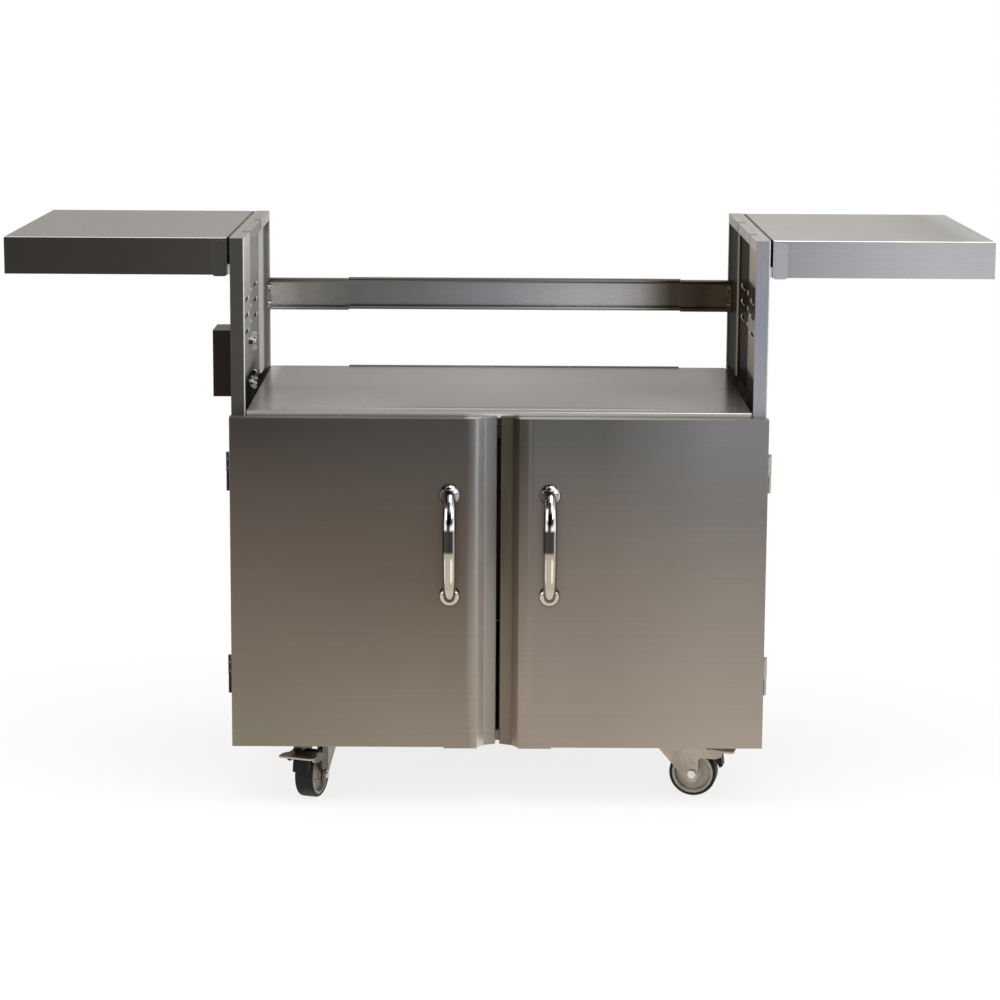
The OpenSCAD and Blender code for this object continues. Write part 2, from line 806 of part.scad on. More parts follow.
// Folding shelf: a sheet tray with its opening down and a hem round it
module shelf_tray(s) {
    ear_y = shelf_y0 + mount_ear_y;
    room = 0.5;
    hem = shelf_hem + sheet_t;
    on_side(s) difference() {
        shelf_body(0);
        shelf_body(sheet_t);
        block([shelf_in + hem, shelf_y0 + hem, shelf_z - cut], [shelf_out - hem, shelf_y1 - hem, shelf_z + 2 * sheet_t]);
        at_shelf_ends() {
            block([shelf_in - cut, ear_y - room, shelf_z - cut],
                [fold_x + ear_r + room, ear_y + mount_ear_t + room, fold_z + ear_r + room]);
            block([shelf_in + sheet_t, shelf_y0 + sheet_t, shelf_z - cut],
                [shelf_in + bracket_w + room, shelf_y0 + hem + cut, shelf_z + 2 * sheet_t]);
        }
    }
}

// Bracket that wraps the shelf's skirt at one end, with the hinge ear inside
module end_bracket() {
    x0 = shelf_in;
    x1 = shelf_in + bracket_w;
    z0 = shelf_z - bracket_t;
    z1 = arm_z - bracket_drop;
    r = 4;
    ear = bent([[x1, fold_z], [x1, z0], [x0 + sheet_t, z0], [x0 + sheet_t, fold_z]], r);
    difference() {
        union() {
            along_y(shelf_y0 - bracket_t, shelf_y0) polygon(bent([[x1, z1], [x1, z0], [x0, z0], [x0, z1]], r));
            along_y(shelf_y0 - bracket_t, shelf_y0 + shelf_ear_y)
                polygon(bent([[x1 - r, shelf_z], [x1 - r, z0], [x0 + r, z0], [x0 + r, shelf_z]], 0.5));
            along_y(shelf_y0 + sheet_t, shelf_y0 + shelf_ear_y) polygon(concat(ear, [[x0 + sheet_t, arm_z - 20], [x1, arm_z - 20]]));
        }
        rod_y(shelf_y0 + sheet_t - cut, shelf_y0 + shelf_ear_y + cut, fold_x, fold_z, shelf_pin_r + run_clear);
    }
}

// The two end brackets of a shelf
module shelf_brackets(s) {
    color(bright_steel) on_side(s) at_shelf_ends() end_bracket();
}

// Front outline of a door from its inner to its outer edge, at depth 0 to door_t
DOOR_EDGE = [
    [door_in, door_back], [door_in, door_front + door_edge_d], [door_in + door_edge_w - 10, door_front + 0.6 * door_edge_d],
    [door_in + door_edge_w, door_front], [door_out, door_front], [door_out, door_back]
];

// Inner outline of the door skin, open towards the cabinet
DOOR_HOLLOW = let (q = beside(bent(DOOR_EDGE, 1.6), sheet_t))
    concat([[q[0][0], door_back + cut]], q, [[q[len(q) - 1][0], door_back + cut]]);

// Door skin: front, folded edges, flanges at top and bottom and the middle hem
module door_skin(s, handle_x) {
    hem_x0 = door_in + door_edge_w;
    color(steel) on_side(s) difference() {
        union() {
            along_z(door_z, door_top) polygon(bent(DOOR_EDGE, 1.6));
            along_z(door_z - door_hem_drop, door_z + sheet_t)
                polygon([[hem_x0, door_front], [door_hem_x, door_front], [door_hem_x, door_front + sheet_t],
                    [hem_x0, door_front + sheet_t]]);
        }
        along_z(door_z + sheet_t, door_top - sheet_t) polygon(DOOR_HOLLOW);
        handle_screw_holes(handle_x, door_front - cut, door_front + sheet_t + cut);
    }
}

// Holes of a handle's screws between y0 and y1
module handle_screw_holes(handle_x, y0, y1) {
    for (i = [-1, 1])
        rod_y(y0, y1, handle_x, handle_z + i * handle_l / 2, handle_screw_d / 2 + bolt_clear);
}

// Inner sheet of a door, let into the skin's flanges
module door_liner(s, handle_x) {
    edge_room = 3;
    access_r = 8;
    color(steel) on_side(s) difference() {
        block([door_in + sheet_t + edge_room, door_back - sheet_t, door_z + sheet_t],
            [door_out - sheet_t, door_back, door_top - sheet_t]);
        for (i = [-1, 1])
            rod_y(door_back - sheet_t - cut, door_back + cut, handle_x, handle_z + i * handle_l / 2, access_r);
    }
}

// Bow of the handle's centre line at angle a, as reach and height
function bow(a) = let (c = cos(a), n = 0.62) [
    (handle_out - grip_mid_d / 2) * pow(sin(a), n),
    handle_l / 2 * sign(c) * pow(abs(c), n)
];

// Bowed grip as one swept surface, thicker at its middle
module grip() {
    rings = 24;
    sides = 16;
    angles = [for (i = [0 : rings]) 180 * i / rings];
    points = [
        for (i = [0 : rings])
            let (
                a = angles[i],
                p = bow(a),
                q = bow(min(a + 1, 180)) - bow(max(a - 1, 0)),
                d = q / norm(q),
                r = (grip_end_d + (grip_mid_d - grip_end_d) * pow(sin(a), 3)) / 2
            )
            for (k = [0 : sides - 1])
                let (c = r * cos(360 * k / sides), w = r * sin(360 * k / sides))
                [w, c * d[1] - p[0], p[1] + c * d[0]]
    ];
    sleeves = [
        for (i = [0 : rings - 1])
            for (k = [0 : sides - 1])
                let (a = i * sides + k, b = i * sides + (k + 1) % sides)
                [a, b, b + sides, a + sides]
    ];
    polyhedron(points, concat(
        [[for (k = [sides - 1 : -1 : 0]) k]],
        sleeves,
        [[for (k = [0 : sides - 1]) rings * sides + k]]
    ));
}

// Handle: the grip, its flared feet and its screws
module door_handle(s, handle_x) {
    color(bright_steel) on_side(s) translate([handle_x, door_front, handle_z]) {
        difference() {
            union() {
                translate([0, -0.01, 0]) grip();
                for (i = [-1, 1])
                    translate([0, 0, i * handle_l / 2]) rotate([90, 0, 0]) rotate_extrude() polygon(concat(
                        [[0, 0], [foot_d / 2, 0], [foot_d / 2, 2]],
                        arc([foot_d / 2, 2 + foot_d / 2 - grip_end_d / 2 + 1], foot_d / 2 - grip_end_d / 2, 250, 180, 5),
                        [[0, 2 + foot_d / 2 - grip_end_d / 2 + 1]]
                    ));
            }
            for (i = [-1, 1])
                rod_y(-6, cut, 0, i * handle_l / 2, handle_screw_d / 2);
        }
        for (i = [-1, 1]) {
            rod_y(-6, sheet_t + 1, 0, i * handle_l / 2, handle_screw_d / 2);
            rod_y(sheet_t, sheet_t + 3, 0, i * handle_l / 2, handle_screw_d * 0.9);
        }
    }
}

// Door half of the hinges: the upper knuckle and its leaf
module door_hinge_leaves(s) {
    color(zinc) on_side(s) for (z = hinge_zs) difference() {
        union() {
            along_z(z + swing_gap / 2, z + hinge_l / 2) polygon([
                [door_out, hinge_y - leaf_w], [door_out + leaf_t, hinge_y - leaf_w],
                [door_out + leaf_t, hinge_y], [door_out + 0.4, hinge_y], [door_out + 0.4, door_back - 0.2],
                [door_out, door_back - 0.2]
            ]);
            rod_z(z + swing_gap / 2, z + hinge_l / 2, hinge_x, hinge_y, knuckle_r);
        }
        rod_z(z - cut, z + hinge_l / 2 - 2, hinge_x, hinge_y, hinge_pin_r + run_clear);
    }
}

// Frame half of the hinges: the lower knuckle and its leaf on the side panel
module hinge_frame_leaves() {
    lower_r = knuckle_r - 0.3;
    color(zinc) for (s = [-1, 1]) on_side(s) for (z = hinge_zs) difference() {
        union() {
            along_z(z - hinge_l / 2, z - swing_gap / 2) polygon([
                [side_x, hinge_y + leaf_w], [side_x, hinge_y], [hinge_x, hinge_y],
                [hinge_x, hinge_y + lower_r], [side_x + leaf_t, hinge_y + lower_r], [side_x + leaf_t, hinge_y + leaf_w]
            ]);
            rod_z(z - hinge_l / 2, z - swing_gap / 2, hinge_x, hinge_y, lower_r);
        }
        rod_z(z - hinge_l / 2 - cut, z + cut, hinge_x, hinge_y, hinge_pin_r);
    }
}

// Pins of the door hinges
module hinge_pins() {
    color(zinc) for (s = [-1, 1]) on_side(s) for (z = hinge_zs)
        rod_z(z - hinge_l / 2, z + hinge_l / 2 - 4, hinge_x, hinge_y, hinge_pin_r);
}

// Striker plate on the back of a door
module door_striker(s) {
    plate_h = 14;
    z1 = catch_top - 2;
    color(zinc) on_side(s) block([striker_x, door_back, z1 - plate_h], [striker_x + striker_w, door_back + sheet_t, z1]);
}

// Double magnetic catch under the front rail
module magnetic_catch() {
    y0 = door_back + sheet_t + swing_gap;
    tab_w = 10;
    color(black) placed() {
        block([-catch_w / 2, y0, catch_top - catch_h], [catch_w / 2, y0 + catch_d, catch_top]);
        block([-catch_w / 2 - tab_w, sheet_t, catch_top - 3], [catch_w / 2 + tab_w, y0 + catch_d, catch_top]);
    }
}

// Draws a shape at caster i, in the caster's own frame: swivel axis at the origin on the
// floor, wheel trailing along X
module at_caster(i) {
    placed() translate([CASTERS[i][0], CASTERS[i][1], 0]) rotate([0, 0, CASTERS[i][2]]) children();
}

// Top plates of the casters, with their raceway cups
module caster_plates() {
    r = 6;
    a = plate_l / 2;
    b = plate_w / 2;
    rim = concat(
        arc([a - r, b - r], r, 0, 90, 4), arc([-a + r, b - r], r, 90, 180, 4),
        arc([-a + r, -b + r], r, 180, 270, 4), arc([a - r, -b + r], r, 270, 360, 4)
    );
    color(zinc) placed() difference() {
        for (c = CASTERS)
            translate([c[0], c[1], 0]) difference() {
                union() {
                    along_z(plate_z, base_z) polygon(rim);
                    rotate_extrude() polygon([
                        [kingpin_d / 2 + 7, plate_z + 0.5], [cup_r, plate_z + 0.5], [cup_r, cup_z + 2.5],
                        [cup_r - 2, cup_z], [kingpin_d / 2 + 7, cup_z]
                    ]);
                }
                rod_z(cup_z - cut, base_z + cut, 0, 0, kingpin_d / 2);
            }
        at_caster_bolts() rod_z(plate_z - cut, base_z + cut, 0, 0, plate_bolt_d / 2 + bolt_clear);
    }
}

// Kingpins, headed under the forks
module kingpins() {
    head = 4;
    z1 = head_z - swing_gap;
    color(zinc) placed() for (c = CASTERS) translate([c[0], c[1], 0]) {
        rod_z(z1 - head, base_z, 0, 0, kingpin_d / 2);
        rod_z(z1 - head, z1, 0, 0, kingpin_d / 2 + 4);
    }
}

// Side outline of a fork leg, as x and z
module fork_leg_outline() {
    axle = [trail, wheel_r];
    top = head_z + head_t;
    polygon(concat(
        [[trail - 64, top], [trail - 62, top - 5]],
        arc(axle, 14, 212, 300, 8),
        [[trail + 9.5, wheel_r - 3], [trail + 9.5, wheel_r + 21.5], [trail + 11.5, wheel_r + 25],
            [trail + 15, wheel_r + 27], [trail + 22, wheel_r + 27.5], [trail + 22, top]]
    ));
}

// Fork of caster i, with the brake lever's pivots where it has a brake
module fork(i, brake) {
    y0 = fork_w / 2;
    y1 = y0 + fork_t;
    color(zinc) at_caster(i) difference() {
        union() {
            along_z(head_z, head_z + head_t) {
                circle(r = head_r);
                translate([0, -y1]) square([trail + 22, 2 * y1]);
            }
            for (s = [0, 1])
                mirror([0, s, 0]) along_y(y0, y1) fork_leg_outline();
            if (brake)
                for (s = [0, 1])
                    mirror([0, s, 0]) {
                        rod_y(y1 - 1, arm_y + lever_t + swing_gap + 1.5, pivot_x, pivot_z, pivot_r);
                        rod_y(arm_y + lever_t + swing_gap, arm_y + lever_t + swing_gap + 1.5, pivot_x, pivot_z, pivot_r + 2);
                    }
        }
        rod_z(head_z - cut, head_z + head_t + cut, 0, 0, kingpin_d / 2 + run_clear);
        rod_y(-y1 - cut, y1 + cut, trail, wheel_r, axle_d / 2);
    }
}

// Axle bolt and nut of caster i
module axle(i) {
    y1 = fork_w / 2 + fork_t;
    nut = 5;
    color(bright_steel) at_caster(i) {
        rod_y(-y1 - nut, y1 + nut + 2, trail, wheel_r, axle_d / 2);
        for (s = [0, 1])
            mirror([0, s, 0]) translate([trail, -y1, wheel_r]) rotate([90, 0, 0]) cylinder(h = nut, r = 7, $fn = 6);
    }
}

// Hub of caster i's wheel, turned in steps from the boss to the rim
module hub(i) {
    rim = tyre_w / 2 - 1;
    half = [
        [axle_d / 2 + run_clear, hub_half], [9.5, hub_half], [10.5, hub_half - 1], [10.5, hub_half - 5],
        [15, hub_half - 6.5], [16, hub_half - 9], [20, hub_half - 9.5], [hub_r - 6, hub_half - 10],
        [hub_r - 4, rim], [hub_r, rim]
    ];
    color(zinc) at_caster(i) translate([trail, 0, wheel_r]) rotate([90, 0, 0])
        rotate_extrude() polygon(concat(half, [for (p = reversed(half)) [p[0], -p[1]]]));
}

// Tyre of caster i's wheel
module tyre(i) {
    b = tyre_w / 2;
    shoulder = tyre_t - 0.5;
    half = concat([[hub_r, b - 0.5], [hub_r + 0.5, b]], arc([wheel_r - shoulder, b - shoulder], shoulder, 90, 0, 5));
    color(black) at_caster(i) translate([trail, 0, wheel_r]) rotate([90, 0, 0])
        rotate_extrude() polygon(concat(half, [for (p = reversed(half)) [p[0], -p[1]]]));
}

// Brake lever of caster i: two side arms and a flared pedal
module brake_lever(i) {
    p = [pivot_x, pivot_z];
    half = arm_y + lever_t;
    wide = half + 6.4;
    color(zinc) at_caster(i) difference() {
        union() {
            for (s = [0, 1])
                mirror([0, s, 0]) along_y(arm_y, half) polygon([
                    p + [-7, -1.5], p + [-5.5, -13.5], p + [-1, -15.5], p + [27, -15.5], p + [36, -11.5],
                    p + [37, -0.5], p + [13, -0.5], p + [4, 5.5], p + [-3, 5.5], p + [-6.5, 2]
                ]);
            along_z(pedal_z, pedal_z + pedal_t) polygon([
                p - [-13, pivot_z] - [0, half], p - [-25, pivot_z] - [0, half], p - [-37, pivot_z] - [0, wide],
                p - [-53, pivot_z] - [0, wide], p - [-56, pivot_z] - [0, wide - 3], p - [-56, pivot_z] + [0, wide - 3],
                p - [-53, pivot_z] + [0, wide], p - [-37, pivot_z] + [0, wide], p - [-25, pivot_z] + [0, half],
                p - [-13, pivot_z] + [0, half]
            ]);
        }
        rod_y(-half - cut, half + cut, pivot_x, pivot_z, pivot_r + run_clear);
    }
}

// Point p of the pressed brake, turned back to where it is at rest
function released(p) = let (
    d = p - [pivot_x, pivot_z],
    c = cos(brake_angle),
    s = sin(brake_angle)
) [pivot_x + d[0] * c - d[1] * s, pivot_z + d[0] * s + d[1] * c];

// Brake shoe of caster i, whose face lies against the tyre when the lever is pressed
module brake_shoe(i) {
    half = 13;
    face_a = 21;
    out = [cos(face_a), sin(face_a)];
    up = [-out[1], out[0]];
    middle = [trail, wheel_r] + (wheel_r + swing_gap) * out;
    pressed = [
        middle + 8 * up, middle - 8 * up, middle - 8 * up + 3 * out,
        [trail + 43, wheel_r + 8], [trail + 43, wheel_r + 16]
    ];
    stem = [[trail + 44, pedal_z], [trail + 34, pedal_z], [trail + 34, wheel_r + 26]];
    color(black) at_caster(i) along_y(-half, half) polygon(concat([for (p = pressed) released(p)], stem));
}

color(steel) side_panel(-1);  // left_side_panel
color(steel) side_panel(1);  // right_side_panel
color(steel) arm_liner(-1);  // left_arm_liner
color(steel) arm_liner(1);  // right_arm_liner
color(steel) rear_post(-1);  // left_rear_post
color(steel) rear_post(1);  // right_rear_post
top_panel();
bottom_panel();
back_panel();
front_rail();
caster_channels();
rear_rail_center();
rear_rail_ends();
frame_bolts();
utility_box();
box_bolts();
wing_nuts();
shelf_mounts();
shelf_bumpers();
shelf_pins();
hinge_frame_leaves();
hinge_pins();
magnetic_catch();
caster_plates();
kingpins();
door_skin(-1, left_handle_x);  // left_door_skin
door_liner(-1, left_handle_x);  // left_door_liner
door_handle(-1, left_handle_x);  // left_door_handle
door_hinge_leaves(-1);  // left_door_hinge_leaves
door_striker(-1);  // left_door_striker
door_skin(1, right_handle_x);  // right_door_skin
door_liner(1, right_handle_x);  // right_door_liner
door_handle(1, right_handle_x);  // right_door_handle
door_hinge_leaves(1);  // right_door_hinge_leaves
door_striker(1);  // right_door_striker
color(steel) shelf_tray(-1);  // left_shelf_tray
shelf_brackets(-1);  // left_shelf_brackets
color(steel) shelf_tray(1);  // right_shelf_tray
shelf_brackets(1);  // right_shelf_brackets
fork(0, true);  // front_left_fork
axle(0);  // front_left_axle
hub(0);  // front_left_hub
tyre(0);  // front_left_tyre
brake_lever(0);  // front_left_brake_lever
brake_shoe(0);  // front_left_brake_shoe
fork(1, true);  // front_right_fork
axle(1);  // front_right_axle
hub(1);  // front_right_hub
tyre(1);  // front_right_tyre
brake_lever(1);  // front_right_brake_lever
brake_shoe(1);  // front_right_brake_shoe
fork(2, false);  // rear_left_fork
axle(2);  // rear_left_axle
hub(2);  // rear_left_hub
tyre(2);  // rear_left_tyre
fork(3, false);  // rear_right_fork
axle(3);  // rear_right_axle
hub(3);  // rear_right_hub
tyre(3);  // rear_right_tyre
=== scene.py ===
from collections import namedtuple
from math import cos, pi, radians, sin

import bmesh
import bpy
from mathutils import Matrix, Vector


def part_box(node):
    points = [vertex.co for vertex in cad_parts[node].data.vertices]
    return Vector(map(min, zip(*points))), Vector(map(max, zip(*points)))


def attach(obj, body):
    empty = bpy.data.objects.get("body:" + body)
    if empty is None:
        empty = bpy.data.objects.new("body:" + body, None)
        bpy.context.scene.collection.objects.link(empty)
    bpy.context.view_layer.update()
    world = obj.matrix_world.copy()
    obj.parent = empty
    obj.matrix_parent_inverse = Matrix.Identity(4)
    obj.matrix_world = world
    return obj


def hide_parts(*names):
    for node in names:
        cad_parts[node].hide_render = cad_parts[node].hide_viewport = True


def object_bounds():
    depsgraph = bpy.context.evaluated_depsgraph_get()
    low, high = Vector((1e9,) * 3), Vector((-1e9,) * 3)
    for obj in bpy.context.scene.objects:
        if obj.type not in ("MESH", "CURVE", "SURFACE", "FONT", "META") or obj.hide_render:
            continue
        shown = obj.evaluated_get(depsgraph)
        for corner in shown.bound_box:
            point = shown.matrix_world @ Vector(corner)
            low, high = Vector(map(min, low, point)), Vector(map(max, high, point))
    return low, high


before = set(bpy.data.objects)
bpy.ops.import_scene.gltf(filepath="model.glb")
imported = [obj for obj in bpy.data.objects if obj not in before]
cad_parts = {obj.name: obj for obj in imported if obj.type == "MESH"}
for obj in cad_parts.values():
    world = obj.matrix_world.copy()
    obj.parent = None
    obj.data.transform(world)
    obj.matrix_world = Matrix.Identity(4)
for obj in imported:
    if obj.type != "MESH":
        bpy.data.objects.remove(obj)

CAD_LOW, CAD_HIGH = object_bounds()
# The sides of the cart, and which way each lies along X
SIDES = {"left": -1, "right": 1}
CASTERS = ["front_left", "front_right", "rear_left", "rear_right"]
WHITE = (1, 1, 1, 1)

# A colour that runs along an axis through stops, each a place and its colour. The axis is x, y or z for a
# place on the cart, or nx, ny or nz for the way the surface faces
Run = namedtuple("Run", "axis stops")
# One paint below low on an axis and another above high
Split = namedtuple("Split", "axis low high first second")


# Shader nodes

def linear(colour):
    """Linear RGBA of a colour given as 0 to 255, by the sRGB curve."""
    parts = [c / 255 for c in colour]
    return [c / 12.92 if c <= 0.04045 else ((c + 0.055) / 1.055) ** 2.4 for c in parts] + [1]


def put(tree, kind, inputs=None, **settings):
    """A new node with its settings, and its inputs set to values or linked to sockets."""
    made = tree.nodes.new(kind)
    for name, value in settings.items():
        setattr(made, name, value)
    for key, value in (inputs or {}).items():
        if isinstance(value, bpy.types.NodeSocket):
            tree.links.new(value, made.inputs[key])
        else:
            made.inputs[key].default_value = value
    return made


def calc(tree, operation, *values):
    """Result of a Math node."""
    return put(tree, "ShaderNodeMath", dict(enumerate(values)), operation=operation).outputs[0]


def span(tree, value, low, high, to_low=0.0, to_high=1.0):
    """Value moved from low..high to to_low..to_high, held at the ends."""
    inputs = {"Value": value, "From Min": low, "From Max": high, "To Min": to_low, "To Max": to_high}
    return put(tree, "ShaderNodeMapRange", inputs).outputs["Result"]


def mix(tree, factor, first, second, way="MIX"):
    """Colour between two colours."""
    inputs = {0: factor, 6: first, 7: second}
    return put(tree, "ShaderNodeMix", inputs, data_type="RGBA", blend_type=way).outputs[2]


def between(tree, factor, first, second):
    """Number between two numbers."""
    return put(tree, "ShaderNodeMix", {0: factor, 2: first, 3: second}, data_type="FLOAT").outputs[0]


def shader_group(name, inputs, outputs):
    """Shader node group with number inputs and named outputs: its tree, and its input and output sockets."""
    tree = bpy.data.node_groups.new(name, "ShaderNodeTree")
    for label, value in inputs.items():
        socket = tree.interface.new_socket(label, in_out="INPUT", socket_type="NodeSocketFloat")
        socket.default_value = value
    for label in outputs:
        tree.interface.new_socket(label, in_out="OUTPUT", socket_type="NodeSocketFloat")
    return tree, tree.nodes.new("NodeGroupInput").outputs, tree.nodes.new("NodeGroupOutput").inputs


def use(tree, group, **values):
    """Outputs of a node group placed in a tree with these inputs."""
    made = put(tree, "ShaderNodeGroup", node_tree=group)
    for name, value in values.items():
        made.inputs[name].default_value = value
    return made.outputs


# Effects that several finishes share

def make_grain():
    """Fine brushed lines, level on upright faces, or upright where Turn is 1."""
    inputs = {"Pitch": 0.003, "Length": 0.3, "Turn": 0.0}
    tree, given, out = shader_group("brushed grain", inputs, ["Grain", "Streaks"])
    where = put(tree, "ShaderNodeTexCoord").outputs
    x, y, z = put(tree, "ShaderNodeSeparateXYZ", {0: where["Object"]}).outputs
    facing_up = calc(tree, "ABSOLUTE", put(tree, "ShaderNodeSeparateXYZ", {0: where["Normal"]}).outputs[2])
    lying = calc(tree, "GREATER_THAN", facing_up, 0.7)
    first = between(tree, lying, calc(tree, "ADD", x, y), x)
    second = between(tree, lying, z, y)
    along = between(tree, given["Turn"], first, second)
    across = between(tree, given["Turn"], second, first)
    for name, coarse in (("Grain", 1), ("Streaks", 7)):
        place = put(tree, "ShaderNodeCombineXYZ", {
            0: calc(tree, "DIVIDE", along, calc(tree, "MULTIPLY", given["Length"], coarse)),
            1: calc(tree, "DIVIDE", across, calc(tree, "MULTIPLY", given["Pitch"], coarse)),
        }).outputs[0]
        inputs = {"Vector": place, "Scale": 1.0, "Detail": 3.0, "Roughness": 0.65}
        noise = put(tree, "ShaderNodeTexNoise", inputs, noise_dimensions="2D")
        tree.links.new(span(tree, noise.outputs[0], 0.25, 0.75), out[name])
    return tree


def make_handling():
    """Soft clouds of tarnish, small smears, and the slow waves of thin sheet."""
    tree, given, out = shader_group("handling", {"Size": 0.2}, ["Clouds", "Smears", "Waves"])
    place = put(tree, "ShaderNodeTexCoord").outputs["Object"]
    # Size of each pattern as a share of Size, its detail, and the noise that becomes 0 and 1
    patterns = {"Clouds": (1, 4.0, 0.3, 0.7), "Smears": (0.16, 6.0, 0.52, 0.78), "Waves": (1.4, 1.0, 0, 1)}
    for name, (part, detail, low, high) in patterns.items():
        scale = calc(tree, "DIVIDE", 1 / part, given["Size"])
        noise = put(tree, "ShaderNodeTexNoise", {"Vector": place, "Scale": scale, "Detail": detail})
        tree.links.new(span(tree, noise.outputs[0], low, high), out[name])
    return tree


def make_edges():
    """1 along edges and bends, 0 on flat faces."""
    tree, given, out = shader_group("bright edges", {"Width": 0.0015}, ["Edge"])
    rounded = put(tree, "ShaderNodeBevel", {"Radius": given["Width"]}, samples=6).outputs[0]
    flat = put(tree, "ShaderNodeNewGeometry").outputs["True Normal"]
    agree = put(tree, "ShaderNodeVectorMath", {0: rounded, 1: flat}, operation="DOT_PRODUCT")
    tree.links.new(span(tree, agree.outputs["Value"], 0.99, 0.80), out["Edge"])
    return tree


def make_grime():
    """Dust and grime that gather low on the casters."""
    tree, given, out = shader_group("grime", {"Height": 0.1, "Size": 0.01}, ["Grime"])
    place = put(tree, "ShaderNodeTexCoord").outputs["Object"]
    height = put(tree, "ShaderNodeSeparateXYZ", {0: place}).outputs[2]
    scale = calc(tree, "DIVIDE", 1, given["Size"])
    inputs = {"Vector": place, "Scale": scale, "Detail": 5.0, "Roughness": 0.7}
    noise = put(tree, "ShaderNodeTexNoise", inputs).outputs[0]
    low = span(tree, height, given["Height"], 0.0)
    tree.links.new(calc(tree, "MULTIPLY", low, span(tree, noise, 0.42, 0.62)), out["Grime"])
    return tree


GRAIN = make_grain()
HANDLING = make_handling()
EDGES = make_edges()
GRIME = make_grime()


# Kinds of finish

def paint(tree, wanted):
    """Colour socket of a plain colour, a Run or a Split."""
    if not isinstance(wanted, (Run, Split)):
        made = put(tree, "ShaderNodeRGB").outputs[0]
        made.default_value = linear(wanted)
        return made
    coordinate = put(tree, "ShaderNodeTexCoord").outputs["Normal" if wanted.axis[0] == "n" else "Object"]
    along = put(tree, "ShaderNodeSeparateXYZ", {0: coordinate}).outputs["xyz".index(wanted.axis[-1])]
    if isinstance(wanted, Split):
        share = span(tree, along, wanted.low, wanted.high)
        return mix(tree, share, paint(tree, wanted.first), paint(tree, wanted.second))
    low, high = wanted.stops[0][0], wanted.stops[-1][0]
    ramp = put(tree, "ShaderNodeValToRGB", {0: span(tree, along, low, high)})
    stops = ramp.color_ramp.elements
    while len(stops) < len(wanted.stops):
        stops.new(0.5)
    for stop, (place, colour) in zip(stops, wanted.stops):
        stop.position = (place - low) / (high - low)
        stop.color = linear(colour)
    return ramp.outputs[0]


def new_material(name):
    """Empty material: itself, its tree and its Principled node."""
    made = bpy.data.materials.new(name)
    made.use_nodes = True
    tree = made.node_tree
    return made, tree, tree.nodes["Principled BSDF"]


def shaded(tree, colours, shade):
    """Paint that is darkened or brightened by a number."""
    grey = put(tree, "ShaderNodeCombineColor", {0: shade, 1: shade, 2: shade}).outputs[0]
    return mix(tree, 1.0, paint(tree, colours), grey, way="MULTIPLY")


def overlay(tree, base, mask, strength, colour):
    """Colour with another one laid over it, as far as a mask and its strength say."""
    return mix(tree, calc(tree, "MULTIPLY", mask, strength), base, linear(colour))


def wire(tree, shader, base, roughness, height, strength, distance):
    """Gives the Principled node its colour, its roughness, and a bump of this height."""
    bump = put(tree, "ShaderNodeBump", {"Height": height, "Strength": strength, "Distance": distance})
    tree.links.new(base, shader.inputs["Base Color"])
    tree.links.new(roughness, shader.inputs["Roughness"])
    tree.links.new(bump.outputs[0], shader.inputs["Normal"])


# Pitch of the brushed lines, how much the lines and the tarnish shade the steel, and the colour of the
# painted highlight on its bends
LINE_PITCH = 0.0012
LINE_SHADE = 0.07
CLOUD_SHADE = 0.03
EDGE_HIGHLIGHT = (228, 226, 222)


def steel(name, colours, rough=0.28, metallic=0.85, turn=0.0, edge=0.2, graze=0.5, level=0.5):
    """Brushed stainless sheet, with its lines upright where turn is 1.

    Edge is how strong the painted highlight on its bends is, graze how bright it stays when it is seen edge
    on, and level its clear shine.
    """
    made, tree, shader = new_material(name)
    lines = use(tree, GRAIN, Pitch=LINE_PITCH, Turn=turn)
    worn = use(tree, HANDLING, Size=0.2)
    bend = use(tree, EDGES, Width=0.0012)["Edge"]
    fine = calc(tree, "MULTIPLY", lines["Grain"], 0.6)
    texture = calc(tree, "ADD", fine, calc(tree, "MULTIPLY", lines["Streaks"], 0.4))
    clouds = span(tree, worn["Clouds"], 0, 1, -CLOUD_SHADE, CLOUD_SHADE)
    shade = calc(tree, "ADD", span(tree, texture, 0, 1, 1 - LINE_SHADE, 1 + LINE_SHADE), clouds)
    # Painted highlight along the bends
    base = overlay(tree, shaded(tree, colours, shade), bend, edge, EDGE_HIGHLIGHT)
    dulled = span(tree, worn["Clouds"], 0, 1, rough, rough + 0.04)
    roughness = calc(tree, "ADD", dulled, span(tree, texture, 0, 1, -0.04, 0.04))
    brushed = calc(tree, "MULTIPLY", texture, 0.06)
    height = calc(tree, "ADD", brushed, calc(tree, "MULTIPLY", worn["Waves"], 0.24))
    wire(tree, shader, base, roughness, height, 0.6, 0.0008)
    shader.inputs["Metallic"].default_value = metallic
    shader.inputs["Specular Tint"].default_value = (graze, graze, graze, 1)
    shader.inputs["Specular IOR Level"].default_value = level
    return made


def plated(name, colours, rough=0.3, metallic=0.9, spangle=0.1, dirt=0.0, edge=0.35):
    """Zinc or nickel plate on small pieces, mottled, with some grime.

    Its pale edges are partly wear and partly a painted highlight.
    """
    made, tree, shader = new_material(name)
    worn = use(tree, HANDLING, Size=0.03)
    bend = use(tree, EDGES, Width=0.0008)["Edge"]
    grime = use(tree, GRIME, Height=0.11, Size=0.012)["Grime"]
    base = shaded(tree, colours, span(tree, worn["Clouds"], 0, 1, 1 - spangle, 1 + spangle))
    # Pale edges: partly wear, partly a painted highlight
    base = overlay(tree, base, bend, edge, (225, 222, 215))
    base = overlay(tree, base, grime, dirt, (74, 66, 54))
    roughness = span(tree, worn["Smears"], 0, 1, rough, rough + 0.2)
    wire(tree, shader, base, roughness, worn["Clouds"], 0.25, 0.0003)
    shader.inputs["Metallic"].default_value = metallic
    return made


